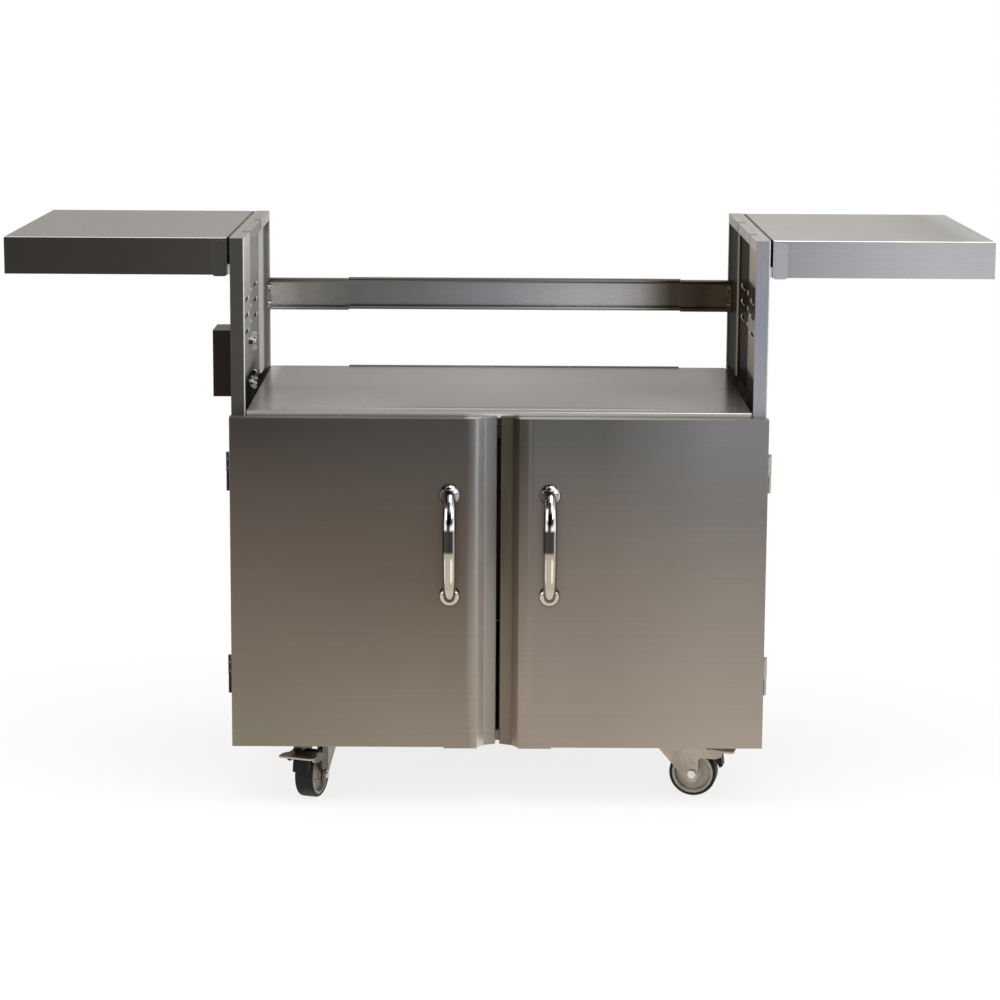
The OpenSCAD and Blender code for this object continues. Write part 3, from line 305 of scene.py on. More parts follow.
def chrome(name, colours):
    """Polished chrome with faint water marks."""
    made, tree, shader = new_material(name)
    worn = use(tree, HANDLING, Size=0.04)
    base = overlay(tree, paint(tree, colours), worn["Clouds"], 0.15, (150, 142, 128))
    wire(tree, shader, base, span(tree, worn["Smears"], 0, 1, 0.05, 0.16), worn["Waves"], 0.15, 0.0006)
    shader.inputs["Metallic"].default_value = 1.0
    return made


def rubber(name, colour, worn_colour):
    """Moulded rubber, scuffed pale and slightly dusty low down."""
    made, tree, shader = new_material(name)
    worn = use(tree, HANDLING, Size=0.02)
    edge = use(tree, EDGES, Width=0.001)["Edge"]
    grime = use(tree, GRIME, Height=0.09, Size=0.008)["Grime"]
    base = overlay(tree, paint(tree, colour), worn["Smears"], 0.6, worn_colour)
    base = overlay(tree, base, edge, 0.3, worn_colour)
    base = overlay(tree, base, grime, 0.08, (96, 88, 76))
    wire(tree, shader, base, span(tree, worn["Clouds"], 0, 1, 0.4, 0.65), worn["Smears"], 0.3, 0.0004)
    shader.inputs["Specular IOR Level"].default_value = 0.25
    return made


# Places on the cart that the paints follow

DOOR_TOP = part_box("left_door_skin")[1].z
# Where the folded edges of the doors start, and where they end at the slot between the doors
FOLD, SLOT = 0.0465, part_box("right_door_skin")[0].x
# Heights at which the doors' colours are set
LOW, MIDDLE, TOP = 0.10, 0.36, 0.60
ARM_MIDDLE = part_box("right_arm_liner")[1].x
ARM_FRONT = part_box("left_side_panel")[0].y
ARM_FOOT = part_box("left_arm_liner")[0].z
ARM_TOP = CAD_HIGH.z
LINER_FRONT, LINER_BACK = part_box("left_arm_liner")[0].y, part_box("left_arm_liner")[1].y
RAIL_STEP, RAIL_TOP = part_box("rear_rail_center")[0].x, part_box("rear_rail_center")[1].z
PANEL_FRONT, PANEL_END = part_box("top_panel")[0].y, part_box("top_panel")[1].x
# Where the pale right leg of the left forks starts: painted light, while the rest of them is painted shade
LEFT_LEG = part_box("front_left_fork")[1].x - 0.0165
# How high the pale lower edge of the left levers reaches, which is painted light, and where their ear at
# the fork starts
LEVER_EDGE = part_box("front_left_brake_lever")[0].z + 0.0135
LEVER_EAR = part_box("front_left_brake_lever")[1].x - 0.014

# Colours that several paints share: a plain one, the back, painted shade, a painted highlight on the arms'
# corners, and painted shade in the arms' relief slits
PLAIN = (120, 115, 108)
BACK = (138, 133, 126)
SHADED = (96, 91, 84)
CORNER_HIGHLIGHT = (240, 238, 235)
ARM_SLIT_SHADE = (44, 40, 36)


# Paints of the cart, with painted light, shade and reflections in their colours

def faces(front, side, top):
    """Paint of a piece in painted light and shade, by the way each face looks: front, sides and top.

    Its back is plain, and its underside is in painted shade.
    """
    standing = Split("ny", 0.5, 0.6, Split("ny", -0.5, -0.4, front, side), BACK)
    return Split("nz", 0.6, 0.7, Split("nz", -0.7, -0.6, SHADED, standing), top)


def height_run(low, middle, top):
    """Three colours up the height of a door."""
    return Run("z", [(LOW, low), (MIDDLE, middle), (TOP, top)])


def door_paint(front, steep, top):
    """Door by the way each face looks: its front, the steep facet of its folded edge, and its top.

    Each carries painted light and reflections.
    """
    ahead = Split("nx", 0.6, 0.7, Split("nx", -0.7, -0.6, steep, front), steep)
    return Split("nz", 0.6, 0.7, Split("ny", 0.5, 0.6, ahead, (140, 134, 126)), top)


def left_door_paint():
    """Left door: dark above, beige below, paler towards the folded edge, which catches the light.

    The dark and beige are painted reflections, and the folded edge and the top by the slot carry a painted
    highlight.
    """
    outer = height_run((131, 123, 107), (109, 97, 88), (68, 64, 59))
    inner = height_run((142, 131, 118), (107, 95, 84), (76, 74, 71))
    fold_low = Run("x", [(-FOLD, (138, 128, 116)), (-0.036, (158, 149, 138)), (-0.031, (154, 145, 134)),
                         (-0.0215, (156, 147, 139)), (-0.018, (148, 140, 131)), (-SLOT, (138, 132, 122))])
    fold_top = Run("x", [(-FOLD, (86, 85, 80)), (-0.038, (112, 111, 112)), (-0.035, (150, 149, 151)),
                         (-0.031, (164, 163, 165)), (-0.0215, (142, 141, 142)), (-0.018, (116, 116, 118)),
                         (-SLOT, (102, 102, 101))])
    fold = Split("z", 0.22, 0.54, fold_low, fold_top)
    front = Split("x", -0.050, -0.046, Split("x", -0.36, -0.15, outer, inner), fold)
    facet = height_run((232, 222, 210), (218, 209, 200), (216, 215, 217))
    steep = Split("x", -0.21, -0.20, (124, 116, 106), facet)
    top = Run("x", [(-0.41, (150, 146, 140)), (-0.055, (152, 148, 143)), (-0.046, (238, 237, 236)),
                    (-SLOT, (230, 230, 230))])
    return door_paint(front, steep, top)


def right_door_paint():
    """Right door: paler than the left one, with a dark crease where its folded edge turns in.

    Its colours are painted reflections, the crease is painted shade, and its top by the fold has a painted
    highlight.
    """
    inner = height_run((154, 142, 130), (131, 121, 111), (93, 93, 90))
    outer = Run("z", [(LOW, (162, 151, 138)), (MIDDLE, (139, 130, 121)), (0.47, (124, 121, 117)),
                      (TOP, (127, 127, 130))])
    fold_low = Run("x", [(SLOT, (122, 110, 95)), (0.019, (112, 100, 86)), (0.0225, (96, 83, 69)),
                         (0.0265, (122, 110, 97)), (0.031, (150, 137, 123)), (FOLD, (152, 140, 127))])
    fold_top = Run("x", [(SLOT, (72, 67, 56)), (0.019, (64, 59, 49)), (0.0235, (44, 38, 30)),
                         (0.0275, (52, 46, 38)), (0.031, (70, 65, 59)), (0.0445, (78, 75, 73)),
                         (0.0475, (104, 101, 99)), (0.052, (86, 86, 83))])
    fold = Split("z", 0.18, 0.56, fold_low, fold_top)
    front = Split("x", 0.050, 0.056, fold, Split("x", 0.16, 0.33, inner, outer))
    facet = height_run((156, 142, 126), (118, 106, 92), (68, 61, 52))
    steep = Split("x", 0.20, 0.21, facet, (134, 126, 116))
    top = Run("x", [(SLOT, (124, 120, 114)), (0.028, (62, 58, 52)), (0.034, (228, 225, 220)),
                    (0.41, (186, 183, 180))])
    return door_paint(front, steep, top)


def slit_lines(front, middle, back):
    """Three colours along an arm from front to back, and painted shade in the relief slit where they meet."""
    stops = [(CAD_LOW.y, front)]
    for y, before, after in ((LINER_FRONT, front, middle), (LINER_BACK, middle, back)):
        stops += [(y - 0.0060, before), (y - 0.0040, ARM_SLIT_SHADE), (y + 0.0040, ARM_SLIT_SHADE), (y + 0.0060, after)]
    return Run("y", stops + [(CAD_HIGH.y, back)])


def arm_paint(side, front, deeper, outer, post, liner, rear, high, top):
    """Arm by the way each face looks, in painted light and shade, with a painted highlight on its corner.

    Deeper is what looks forward behind the front, such as the ends of the vent slots, painted pale for the
    light through them. The inner face has the front post, the liner and the rear post, and high along its
    top, where the slits of the folds end.
    """
    bend = Split("nx", 0.25, 0.35, front, CORNER_HIGHLIGHT)
    deeper = Split("z", DOOR_TOP, DOOR_TOP + 0.01, PLAIN, deeper)
    ahead = Split("y", ARM_FRONT + 0.002, ARM_FRONT + 0.003, bend, deeper)
    inner = Split("y", LINER_BACK, LINER_BACK + 0.002, liner, rear)
    inner = Split("y", LINER_FRONT - 0.004, LINER_FRONT, post, inner)
    inner = Split("z", ARM_TOP - 0.017, ARM_TOP - 0.015, inner, high)
    inner = Split("z", DOOR_TOP - 0.006, DOOR_TOP - 0.004, PLAIN, inner)
    slit_top = slit_lines(top, top, top)
    if side == "left":
        sides = Split("nx", -0.1, 0.1, outer, inner)
        return faces(ahead, sides, Split("x", -ARM_MIDDLE, -ARM_MIDDLE + 0.001, top, slit_top))
    sides = Split("nx", -0.1, 0.1, inner, outer)
    return faces(ahead, sides, Split("x", ARM_MIDDLE - 0.001, ARM_MIDDLE, slit_top, top))


def left_arm_paint():
    """Left arm: dark front, a bright corner, and an inner face that is dark at its foot and pale above.

    All in painted light and shade: the dark front and foot are painted shade, the corner a painted highlight.
    """
    # The ends of the vent slots are painted white for the light through them
    deeper = Split("y", 0.09, 0.10, (255, 255, 255), (196, 193, 190))
    post = Run("z", [(ARM_FOOT, (22, 19, 16)), (0.663, (30, 27, 24)), (0.678, (132, 130, 127)),
                     (0.76, (158, 156, 153)), (0.81, (176, 173, 169)), (ARM_TOP, (200, 196, 190))])
    liner = Run("z", [(ARM_FOOT, (18, 16, 14)), (0.660, (28, 25, 22)), (0.673, (126, 124, 121)),
                      (ARM_TOP, (160, 159, 156))])
    liner_end = Run("z", [(ARM_FOOT, (60, 58, 56)), (0.640, (122, 120, 117)), (ARM_TOP, (160, 159, 156))])
    liner = Split("y", LINER_FRONT + 0.02, LINER_BACK - 0.02, liner, liner_end)
    rear = Run("y", [(LINER_BACK, (206, 203, 199)), (0.155, (196, 193, 189)), (0.180, (118, 116, 114)),
                     (0.22, (98, 97, 96)), (0.285, (128, 126, 123))])
    rear = Split("y", 0.20, 0.25, rear, Split("z", 0.845, 0.872, rear, (44, 40, 37)))
    high = slit_lines((202, 198, 192), (158, 156, 152), (196, 192, 187))
    return arm_paint("left", (67, 66, 63), deeper, SHADED, post, liner, rear, high, (150, 146, 141))


def right_arm_paint():
    """Right arm: pale front, a bright corner, and an inner face with beige and dark patches.

    All in painted light and shade: the corner is a painted highlight, the patches painted reflections and the
    foot painted shade.
    """
    front = Run("z", [(ARM_FOOT, (144, 142, 146)), (0.76, (130, 134, 145)), (ARM_TOP, (134, 134, 138))])
    # The rear post's front wall: a thin pale line, the rest in painted shade
    rear_front = Split("x", 0.3915, 0.3925, (158, 148, 136), (50, 43, 35))
    deeper = Split("y", 0.09, 0.10, (236, 228, 208), rear_front)
    post = Run("z", [(ARM_FOOT, (26, 20, 15)), (0.668, (62, 52, 44)), (0.678, (142, 130, 117)),
                     (0.758, (156, 145, 133)), (0.766, (70, 60, 49)), (0.808, (66, 57, 46)),
                     (0.816, (160, 150, 138)), (ARM_TOP, (176, 168, 157))])
    liner = Run("z", [(ARM_FOOT, (12, 9, 7)), (0.70, (50, 42, 34)), (0.78, (44, 41, 29)),
                      (ARM_TOP, (54, 53, 38))])
    rear = Run("y", [(LINER_BACK, (150, 140, 128)), (0.118, (120, 110, 100)), (0.128, (64, 54, 44)),
                     (0.19, (52, 42, 33)), (0.285, (26, 22, 18))])
    high = slit_lines((190, 187, 181), (190, 186, 180), (186, 184, 178))
    return arm_paint("right", front, deeper, (150, 147, 144), post, liner, rear, high, (176, 172, 168))


def rail_paint():
    """Rear rail: dark lips, and a face that brightens towards the right and ends dark.

    These are painted light, reflections and shade.
    """
    front = Run("x", [(-0.390, (150, 148, 144)), (-0.387, (240, 240, 240)), (-0.382, (240, 240, 240)),
                      (-0.380, (226, 222, 217)), (-0.365, (205, 202, 196)), (-0.337, (157, 154, 149)),
                      (RAIL_STEP, (128, 126, 122)), (-0.25, (112, 112, 110)), (-0.134, (119, 122, 123)),
                      (0.0, (148, 150, 155)), (0.137, (188, 190, 192)), (0.205, (190, 187, 190)),
                      (0.24, (172, 169, 168)), (0.273, (110, 107, 102)), (0.292, (74, 67, 57)),
                      (0.345, (68, 59, 47)), (0.375, (104, 92, 72))])
    line = Run("x", [(-0.39, (106, 104, 100)), (0.0, (110, 111, 112)), (0.14, (98, 100, 102)),
                     (0.24, (72, 70, 70)), (0.29, (40, 34, 25))])
    lip = Run("x", [(-0.39, (62, 60, 56)), (-0.13, (72, 74, 68)), (0.0, (92, 92, 90)),
                    (0.14, (144, 146, 148)), (0.24, (138, 136, 134)), (0.29, (40, 34, 25))])
    edge = Split("z", RAIL_TOP - 0.0045, RAIL_TOP - 0.0035, line, lip)
    front = Split("z", RAIL_TOP - 0.0085, RAIL_TOP - 0.0075, front, edge)
    lower_lip = Run("x", [(-0.39, (80, 78, 74)), (-0.31, (94, 92, 88)), (-0.235, (140, 138, 134)),
                          (-0.134, (134, 132, 130)), (0.0, (157, 156, 155)), (0.137, (245, 244, 242)),
                          (0.205, (205, 202, 200)), (0.24, (125, 122, 118)), (0.273, (30, 26, 22))])
    return faces(front, (116, 112, 106), Split("z", 0.74, 0.75, lower_lip, (70, 67, 62)))


def top_panel_paint():
    """Top panel: paler in the middle and near the front, with two faint lines a little behind its bend.

    Its paler and darker parts are painted light and reflections, and its front flange is in painted shade
    below the doors' top.
    """
    dark, light, middle = (154, 147, 141), (236, 230, 225), (190, 184, 178)
    far = Run("x", [(-PANEL_END, (232, 230, 222)), (-0.375, (200, 198, 190)), (-0.366, (160, 157, 150)),
                    (-0.35, (156, 148, 142)), (0.0, middle), (0.26, (158, 149, 144)),
                    (0.345, (152, 143, 138)), (0.385, (88, 82, 76))])
    near = Run("x", [(-PANEL_END, (250, 246, 240)), (-0.36, (238, 232, 226)), (-0.335, (196, 190, 185)),
                     (-0.1, (222, 215, 210)), (0.1, (226, 220, 215)), (0.385, (194, 187, 182))])
    steps = [(0.004, light), (0.008, dark), (0.014, dark), (0.018, light), (0.036, light), (0.039, dark),
             (0.045, dark), (0.05, middle)]
    lines = Run("y", [(PANEL_FRONT + step, colour) for step, colour in steps])
    near = Split("x", -0.24, -0.12, near, Split("x", 0.16, 0.28, lines, near))
    top = Split("y", PANEL_FRONT + 0.05, PANEL_FRONT + 0.24, near, far)
    bend = Run("x", [(-PANEL_END, (96, 92, 88)), (0.0, (112, 108, 104)), (0.15, (150, 146, 142)),
                     (PANEL_END, (190, 187, 184))])
    flange = Split("z", DOOR_TOP - 0.003, DOOR_TOP - 0.001, (34, 31, 28), (202, 195, 190))
    return faces(flange, (130, 124, 118), Split("nz", 0.9, 0.97, bend, top))


def left_shelf_paint():
    """Left shelf: a dark front and a beige top, the front in painted shade."""
    front = Run("x", [(CAD_LOW.x, (56, 53, 48)), (-0.58, (61, 58, 53)), (-0.43, (70, 66, 62))])
    top = Run("x", [(CAD_LOW.x, (161, 155, 149)), (-0.58, (165, 157, 153)), (-0.43, (171, 163, 158))])
    return faces(front, (72, 68, 63), top)


def right_shelf_paint():
    """Right shelf: a pale front and a top that is nearly white, both in painted light."""
    front = Run("x", [(0.43, (156, 157, 161)), (0.56, (177, 178, 183)), (0.66, (188, 189, 193)),
                      (CAD_HIGH.x, (188, 189, 193))])
    top = Run("x", [(0.43, (217, 212, 210)), (0.62, (211, 206, 203)), (0.70, (191, 188, 184)),
                    (0.735, (215, 214, 212))])
    return faces(front, (150, 149, 148), top)


def left_lever_paint():
    """Brake levers on the left: dark, with a pale lower edge and a dull ear at the fork.

    The dark is painted shade and the pale edge painted light.
    """
    edge = Split("x", LEVER_EAR, LEVER_EAR + 0.001, (178, 166, 150), (92, 83, 68))
    return Split("z", LEVER_EDGE, LEVER_EDGE + 0.002, edge, (62, 52, 42))


def chrome_reflection_paint():
    """Handle: beige with two light streaks, a dark band above, then white and dark streaks to the top.

    All of these, on the grip and its feet, are painted reflections.
    """
    low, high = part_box("left_door_handle")
    beige = (182, 172, 154)
    white = (255, 255, 255)
    foot = Split("nz", 0.25, 0.4, (196, 186, 170), (70, 60, 50))
    streaks = Run("nx", [(-1, beige), (-0.75, beige), (-0.65, (236, 226, 206)), (-0.52, beige),
                         (0.12, beige), (0.22, (255, 250, 236)), (0.4, (244, 236, 218)), (0.5, beige),
                         (1, beige)])
    lower = Split("z", 0.398, 0.404, Split("z", 0.362, 0.368, beige, streaks), (176, 168, 150))
    band = Run("nx", [(-1, (74, 70, 64)), (-0.6, (46, 45, 45)), (0.0, (30, 30, 32)), (0.45, (44, 44, 47)),
                      (0.6, (170, 170, 174)), (1, (176, 174, 176))])
    upper = Run("nx", [(-1, (60, 58, 56)), (-0.8, (70, 70, 72)), (-0.68, (250, 250, 252)),
                       (-0.42, (240, 241, 244)), (-0.32, (60, 61, 64)), (0.02, (70, 72, 76)), (0.14, white),
                       (0.72, white), (0.85, (130, 130, 134)), (1, (110, 110, 112))])
    grip = Split("z", 0.408, 0.413, lower, Split("z", 0.444, 0.448, band, upper))
    cap = Run("nx", [(-1, (110, 110, 112)), (-0.8, (180, 180, 182)), (-0.6, (56, 56, 58)),
                     (-0.05, (70, 70, 73)), (0.05, (250, 250, 252)), (0.3, (240, 240, 243)),
                     (0.42, (130, 130, 134)), (0.7, (230, 230, 232)), (1, (90, 90, 92))])
    grip = Split("z", high.z - 0.034, high.z - 0.030, grip, Split("nz", 0.8, 0.92, cap, (26, 26, 28)))
    return Split("z", low.z + 0.030, low.z + 0.034, foot, grip)


# Finishes of the cart

def sheet_finishes():
    """Finishes of the stainless sheets by name.

    The left and right copies of a piece are one steel, the left in painted shade and the right in painted
    light.
    """
    made = {}
    made["top"] = steel("brushed_top", top_panel_paint(), rough=0.22)
    made["left_door"] = steel("left_door_steel", left_door_paint(), rough=0.33)
    made["right_door"] = steel("right_door_steel", right_door_paint(), rough=0.33)
    made["left_shelf"] = steel("left_shelf_steel", left_shelf_paint(), rough=0.26, edge=0.1)
    made["right_shelf"] = steel("right_shelf_steel", right_shelf_paint(), rough=0.26, edge=0.25)
    made["left_arm"] = steel("left_arm_steel", left_arm_paint(), rough=0.42, metallic=0.35, turn=1.0,
                             graze=0.3, edge=0.1, level=0.0)
    made["right_arm"] = steel("right_arm_steel", right_arm_paint(), rough=0.26, metallic=0.35, turn=1.0,
                              graze=0.04, edge=0.1, level=0.0)
    made["rail"] = steel("rail_steel", rail_paint(), rough=0.24, edge=0.12)
    # Frame, pan, brackets and box carry painted light and shade by the way their faces look
    frame_paint = faces((110, 104, 96), (116, 111, 104), (124, 119, 112))
    made["frame"] = steel("frame_steel", frame_paint, rough=0.34)
    pan_paint = faces((118, 111, 103), (110, 104, 96), (82, 77, 70))
    made["pan"] = steel("floor_pan_steel", pan_paint, rough=0.4)
    # Painted shade: the front rail and the tie behind the door gap are dark where they stand in the cabinet's
    # shade
    shade_paint = faces((46, 42, 38), (110, 104, 96), PLAIN)
    made["shade"] = steel("painted_shade_steel", shade_paint, rough=0.4, edge=0.05)
    left_bracket = faces((70, 69, 65), (80, 76, 71), (170, 166, 160))
    made["left_bracket"] = steel("left_bracket_steel", left_bracket, edge=0.15)
    right_bracket = faces((171, 175, 180), (180, 180, 182), (212, 211, 209))
    made["right_bracket"] = steel("right_bracket_steel", right_bracket, edge=0.35)
    box_paint = faces((38, 30, 23), (24, 24, 20), (150, 146, 133))
    made["box"] = steel("dark_box", box_paint, rough=0.3, metallic=0.3, edge=0.03, level=0.2)
    return made


def small_finishes():
    """Finishes of the fittings, the casters and the handles by name."""
    made = {}
    # Hinges in painted light and shade: dark on the left, pale fronts on the right
    left_hinge = Split("ny", -0.6, -0.5, (52, 43, 34), (34, 28, 22))
    right_hinge = Split("ny", -0.6, -0.5, (176, 172, 166), (84, 78, 70))
    both_hinges = Split("x", -0.01, 0.01, left_hinge, right_hinge)
    made["left_hinge"] = plated("left_hinge_steel", left_hinge, rough=0.35, edge=0.1)
    made["right_hinge"] = plated("right_hinge_steel", right_hinge, rough=0.35, edge=0.2)
    made["frame_hinge"] = plated("frame_hinge_steel", both_hinges, rough=0.35, edge=0.15)
    # Wing nuts with a painted highlight on the faces that look up
    wing_paint = Split("nz", 0.1, 0.4, (84, 80, 75), (250, 250, 248))
    made["wing"] = plated("wing_nut_nickel", wing_paint, rough=0.12, spangle=0.3)
    # Shelf mounts in painted light and shade: pale low on the front, dark above it and on top
    mount_front = Split("z", 0.845, 0.85, (226, 225, 221), (60, 57, 52))
    mount_paint = faces(mount_front, (150, 142, 128), (58, 54, 48))
    made["mount"] = plated("mount_plate", mount_paint, rough=0.32, edge=0.1)
    made["bright"] = plated("bright_fastener", (214, 211, 204), rough=0.16, spangle=0.06, edge=0.6)
    made["zinc"] = plated("zinc_plate", (166, 157, 140), rough=0.32, dirt=0.5, spangle=0.16)
    # Left forks: painted shade, with a right leg in painted light
    left_fork = Split("x", LEFT_LEG, LEFT_LEG + 0.001, (70, 63, 47), (156, 146, 128))
    made["left_fork"] = plated("left_zinc_fork", left_fork, rough=0.26, dirt=0.3, spangle=0.14)
    made["right_fork"] = plated("right_zinc_fork", (168, 157, 140), rough=0.26, dirt=0.3, spangle=0.14)
    made["left_lever"] = plated("left_zinc_lever", left_lever_paint(), rough=0.26, spangle=0.1)
    made["hub"] = plated("hub_grey", (158, 151, 138), rough=0.4, metallic=0.4, spangle=0.08, dirt=0.3,
                         edge=0.5)
    made["chrome"] = chrome("handle_chrome", chrome_reflection_paint())
    made["tyre"] = rubber("tyre_rubber", (5, 5, 8), (20, 22, 28))
    made["black"] = rubber("black_rubber", (6, 6, 8), (24, 24, 28))
    return made


FINISH = {**sheet_finishes(), **small_finishes()}


def node_finishes():
    """Name of the finish that each CAD node wears."""
    wears = {
        "top_panel": "top", "bottom_panel": "pan", "back_panel": "frame", "front_rail": "shade",
        "rear_rail_center": "rail", "rear_rail_ends": "rail", "frame_bolts": "rail",
        "utility_box": "box", "box_bolts": "bright", "wing_nuts": "wing",
        "shelf_mounts": "mount", "shelf_bumpers": "black", "shelf_pins": "zinc",
        "hinge_frame_leaves": "frame_hinge", "hinge_pins": "bright", "magnetic_catch": "black",
        "caster_channels": "zinc", "caster_plates": "zinc", "kingpins": "zinc",
    }
    for side in SIDES:
        for piece in ("side_panel", "arm_liner", "rear_post"):
            wears[f"{side}_{piece}"] = side + "_arm"
        door = {"skin": side + "_door", "liner": "frame", "handle": "chrome",
                "hinge_leaves": side + "_hinge", "striker": "zinc"}
        for piece, finish in door.items():
            wears[f"{side}_door_{piece}"] = finish
        wears[side + "_shelf_tray"] = side + "_shelf"
        wears[side + "_shelf_brackets"] = side + "_bracket"
    for caster in CASTERS:
        left = caster.endswith("left")
        fork, lever = ("left_fork", "left_lever") if left else ("right_fork", "right_fork")
        pieces = {"fork": fork, "axle": "bright", "hub": "hub", "tyre": "tyre", "brake_lever": lever,
                  "brake_shoe": "black"}
        for piece, finish in pieces.items():
            wears[f"{caster}_{piece}"] = finish
    return wears


WEARS = node_finishes()
for name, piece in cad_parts.items():
    piece.data.materials.clear()
    piece.data.materials.append(FINISH[WEARS[name]])


# Meshes

def new_piece(name, mesh, finish, body):
    """Object for a finished mesh, riding on a body."""
    made = bpy.data.objects.new(name, mesh)
    bpy.context.scene.collection.objects.link(made)
    mesh.materials.clear()
    mesh.materials.append(FINISH[finish])
    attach(made, body)
    return made


def add_rings(shape, rings):
    """Closed skin through rings of points, with a fan at each end."""
    loops = [[shape.verts.new(p) for p in ring] for ring in rings]
    count = len(loops[0])
    for first, second in zip(loops, loops[1:]):
        for k in range(count):
            shape.faces.new((first[k], first[(k + 1) % count], second[(k + 1) % count], second[k]))
    for loop, ring in ((loops[0], rings[0]), (loops[-1], rings[-1])):
        middle = shape.verts.new(sum(ring, Vector()) / count)
        for k in range(count):
            shape.faces.new((loop[k], loop[(k + 1) % count], middle))


def circle(centre, ahead, side, radius, count):
    """Points of a circle about centre, square to ahead."""
    third = ahead.cross(side)
    turns = [2 * pi * k / count for k in range(count)]
    return [centre + radius * (cos(turn) * side + sin(turn) * third) for turn in turns]


def mesh_of(name, shape, smooth=True):
    """Mesh of a bmesh with outward normals, and with smooth faces or flat ones."""
    bmesh.ops.recalc_face_normals(shape, faces=shape.faces)
    mesh = bpy.data.meshes.new(name)
    shape.to_mesh(mesh)
    shape.free()
    for face in mesh.polygons:
        face.use_smooth = smooth
    return mesh


# Handles

ACROSS = Vector((1, 0, 0))
FORWARD = Vector((0, -1, 0))
GRIP_RINGS = 96
GRIP_SIDES = 36
# Radius of the grip in its middle and at its feet, and how square its bow is: a lower power is squarer
GRIP_MIDDLE_R, GRIP_END_R = 0.0108, 0.0094
BOW_POWER = 0.62
# Dome of a foot: how far it stands out from the door, and its radius there as a share of the foot's
FOOT_DOME = [(0.0, 0.98), (0.0022, 1.0), (0.0042, 0.97), (0.0060, 0.89), (0.0074, 0.78), (0.0084, 0.66),
             (0.0090, 0.56), (0.0093, 0.50)]
SCREW_R = 0.0044
SCREW_SIDES = 24


def make_grip(side):
    """Bowed chrome grip of a door with its two domed feet and the screws behind the door."""
    low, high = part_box(side + "_door_handle")
    skin_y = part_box(side + "_door_skin")[0].y
    foot_r = (high.x - low.x) / 2
    centre = Vector(((low.x + high.x) / 2, skin_y, (low.z + high.z) / 2))
    half = (high.z - low.z) / 2 - foot_r
    reach = skin_y - low.y - GRIP_MIDDLE_R
    depth = high.y - skin_y

    def bow(a):
        """Place along the bow, from the upper foot at 0 to the lower one at pi."""
        rise = (1 if cos(a) > 0 else -1) * abs(cos(a)) ** BOW_POWER
        return Vector((0, -reach * sin(a) ** BOW_POWER, half * rise))

    shape = bmesh.new()
    rings = []
    for i in range(GRIP_RINGS + 1):
        a = pi * i / GRIP_RINGS
        ahead = (bow(min(a + 0.01, pi)) - bow(max(a - 0.01, 0))).normalized()
        radius = GRIP_END_R + (GRIP_MIDDLE_R - GRIP_END_R) * sin(a) ** 3
        rings.append(circle(centre + bow(a), ahead, ACROSS, radius, GRIP_SIDES))
    add_rings(shape, rings)
    # How far behind the front of the door, and the screw's radius there
    screw = [(0.0016, SCREW_R), (depth - 0.001, SCREW_R), (depth, 0.003)]
    for end in (-1, 1):
        foot = centre + Vector((0, 0, end * half))
        add_rings(shape, [circle(foot + out * FORWARD, FORWARD, ACROSS, foot_r * share, GRIP_SIDES)
                          for out, share in FOOT_DOME])
        add_rings(shape, [circle(foot - inward * FORWARD, FORWARD, ACROSS, radius, SCREW_SIDES)
                          for inward, radius in screw])
    piece = new_piece(side + "_grip", mesh_of(side + "_grip", shape), "chrome", side + "_door")
    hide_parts(side + "_door_handle")


# Rivets and screws, in rows

def head_tree():
    """Geometry Nodes tree that sets domed heads along a line, facing the way that Turn gives."""
    tree = bpy.data.node_groups.new("head row", "GeometryNodeTree")
    tree.interface.new_socket("Geometry", in_out="OUTPUT", socket_type="NodeSocketGeometry")
    wanted = {"Start": "Vector", "End": "Vector", "Count": "Int", "Radius": "Float", "Height": "Float",
              "Turn": "Vector", "Finish": "Material"}
    for label, kind in wanted.items():
        tree.interface.new_socket(label, in_out="INPUT", socket_type="NodeSocket" + kind)
    given = tree.nodes.new("NodeGroupInput").outputs
    ends = {"Count": given["Count"], "Start Location": given["Start"], "Offset": given["End"]}
    line = put(tree, "GeometryNodeMeshLine", ends, mode="END_POINTS")
    ball = put(tree, "GeometryNodeMeshUVSphere", {"Segments": 20, "Rings": 10, "Radius": 1.0})
    sizes = {0: given["Radius"], 1: given["Radius"], 2: given["Height"]}
    size = put(tree, "ShaderNodeCombineXYZ", sizes).outputs[0]
    head = put(tree, "GeometryNodeTransform", {"Geometry": ball.outputs["Mesh"], "Scale": size})
    heads = {"Points": line.outputs[0], "Instance": head.outputs[0], "Rotation": given["Turn"]}
    rows = put(tree, "GeometryNodeInstanceOnPoints", heads)
    real = put(tree, "GeometryNodeRealizeInstances", {0: rows.outputs[0]})
    dyed = put(tree, "GeometryNodeSetMaterial", {"Geometry": real.outputs[0], "Material": given["Finish"]})
    out = tree.nodes.new("NodeGroupOutput")
    tree.links.new(dyed.outputs[0], out.inputs[0])
    return tree


HEADS = head_tree()
# Turns of a head that faces up, so that it faces another way
FACING = {"back": (radians(-90), 0, 0), "left": (0, radians(-90), 0), "right": (0, radians(90), 0),
          "up": (0, 0, 0)}
# A straight row of heads, each with its radius, its height and the way it faces
Row = namedtuple("Row", "start end count radius height way")


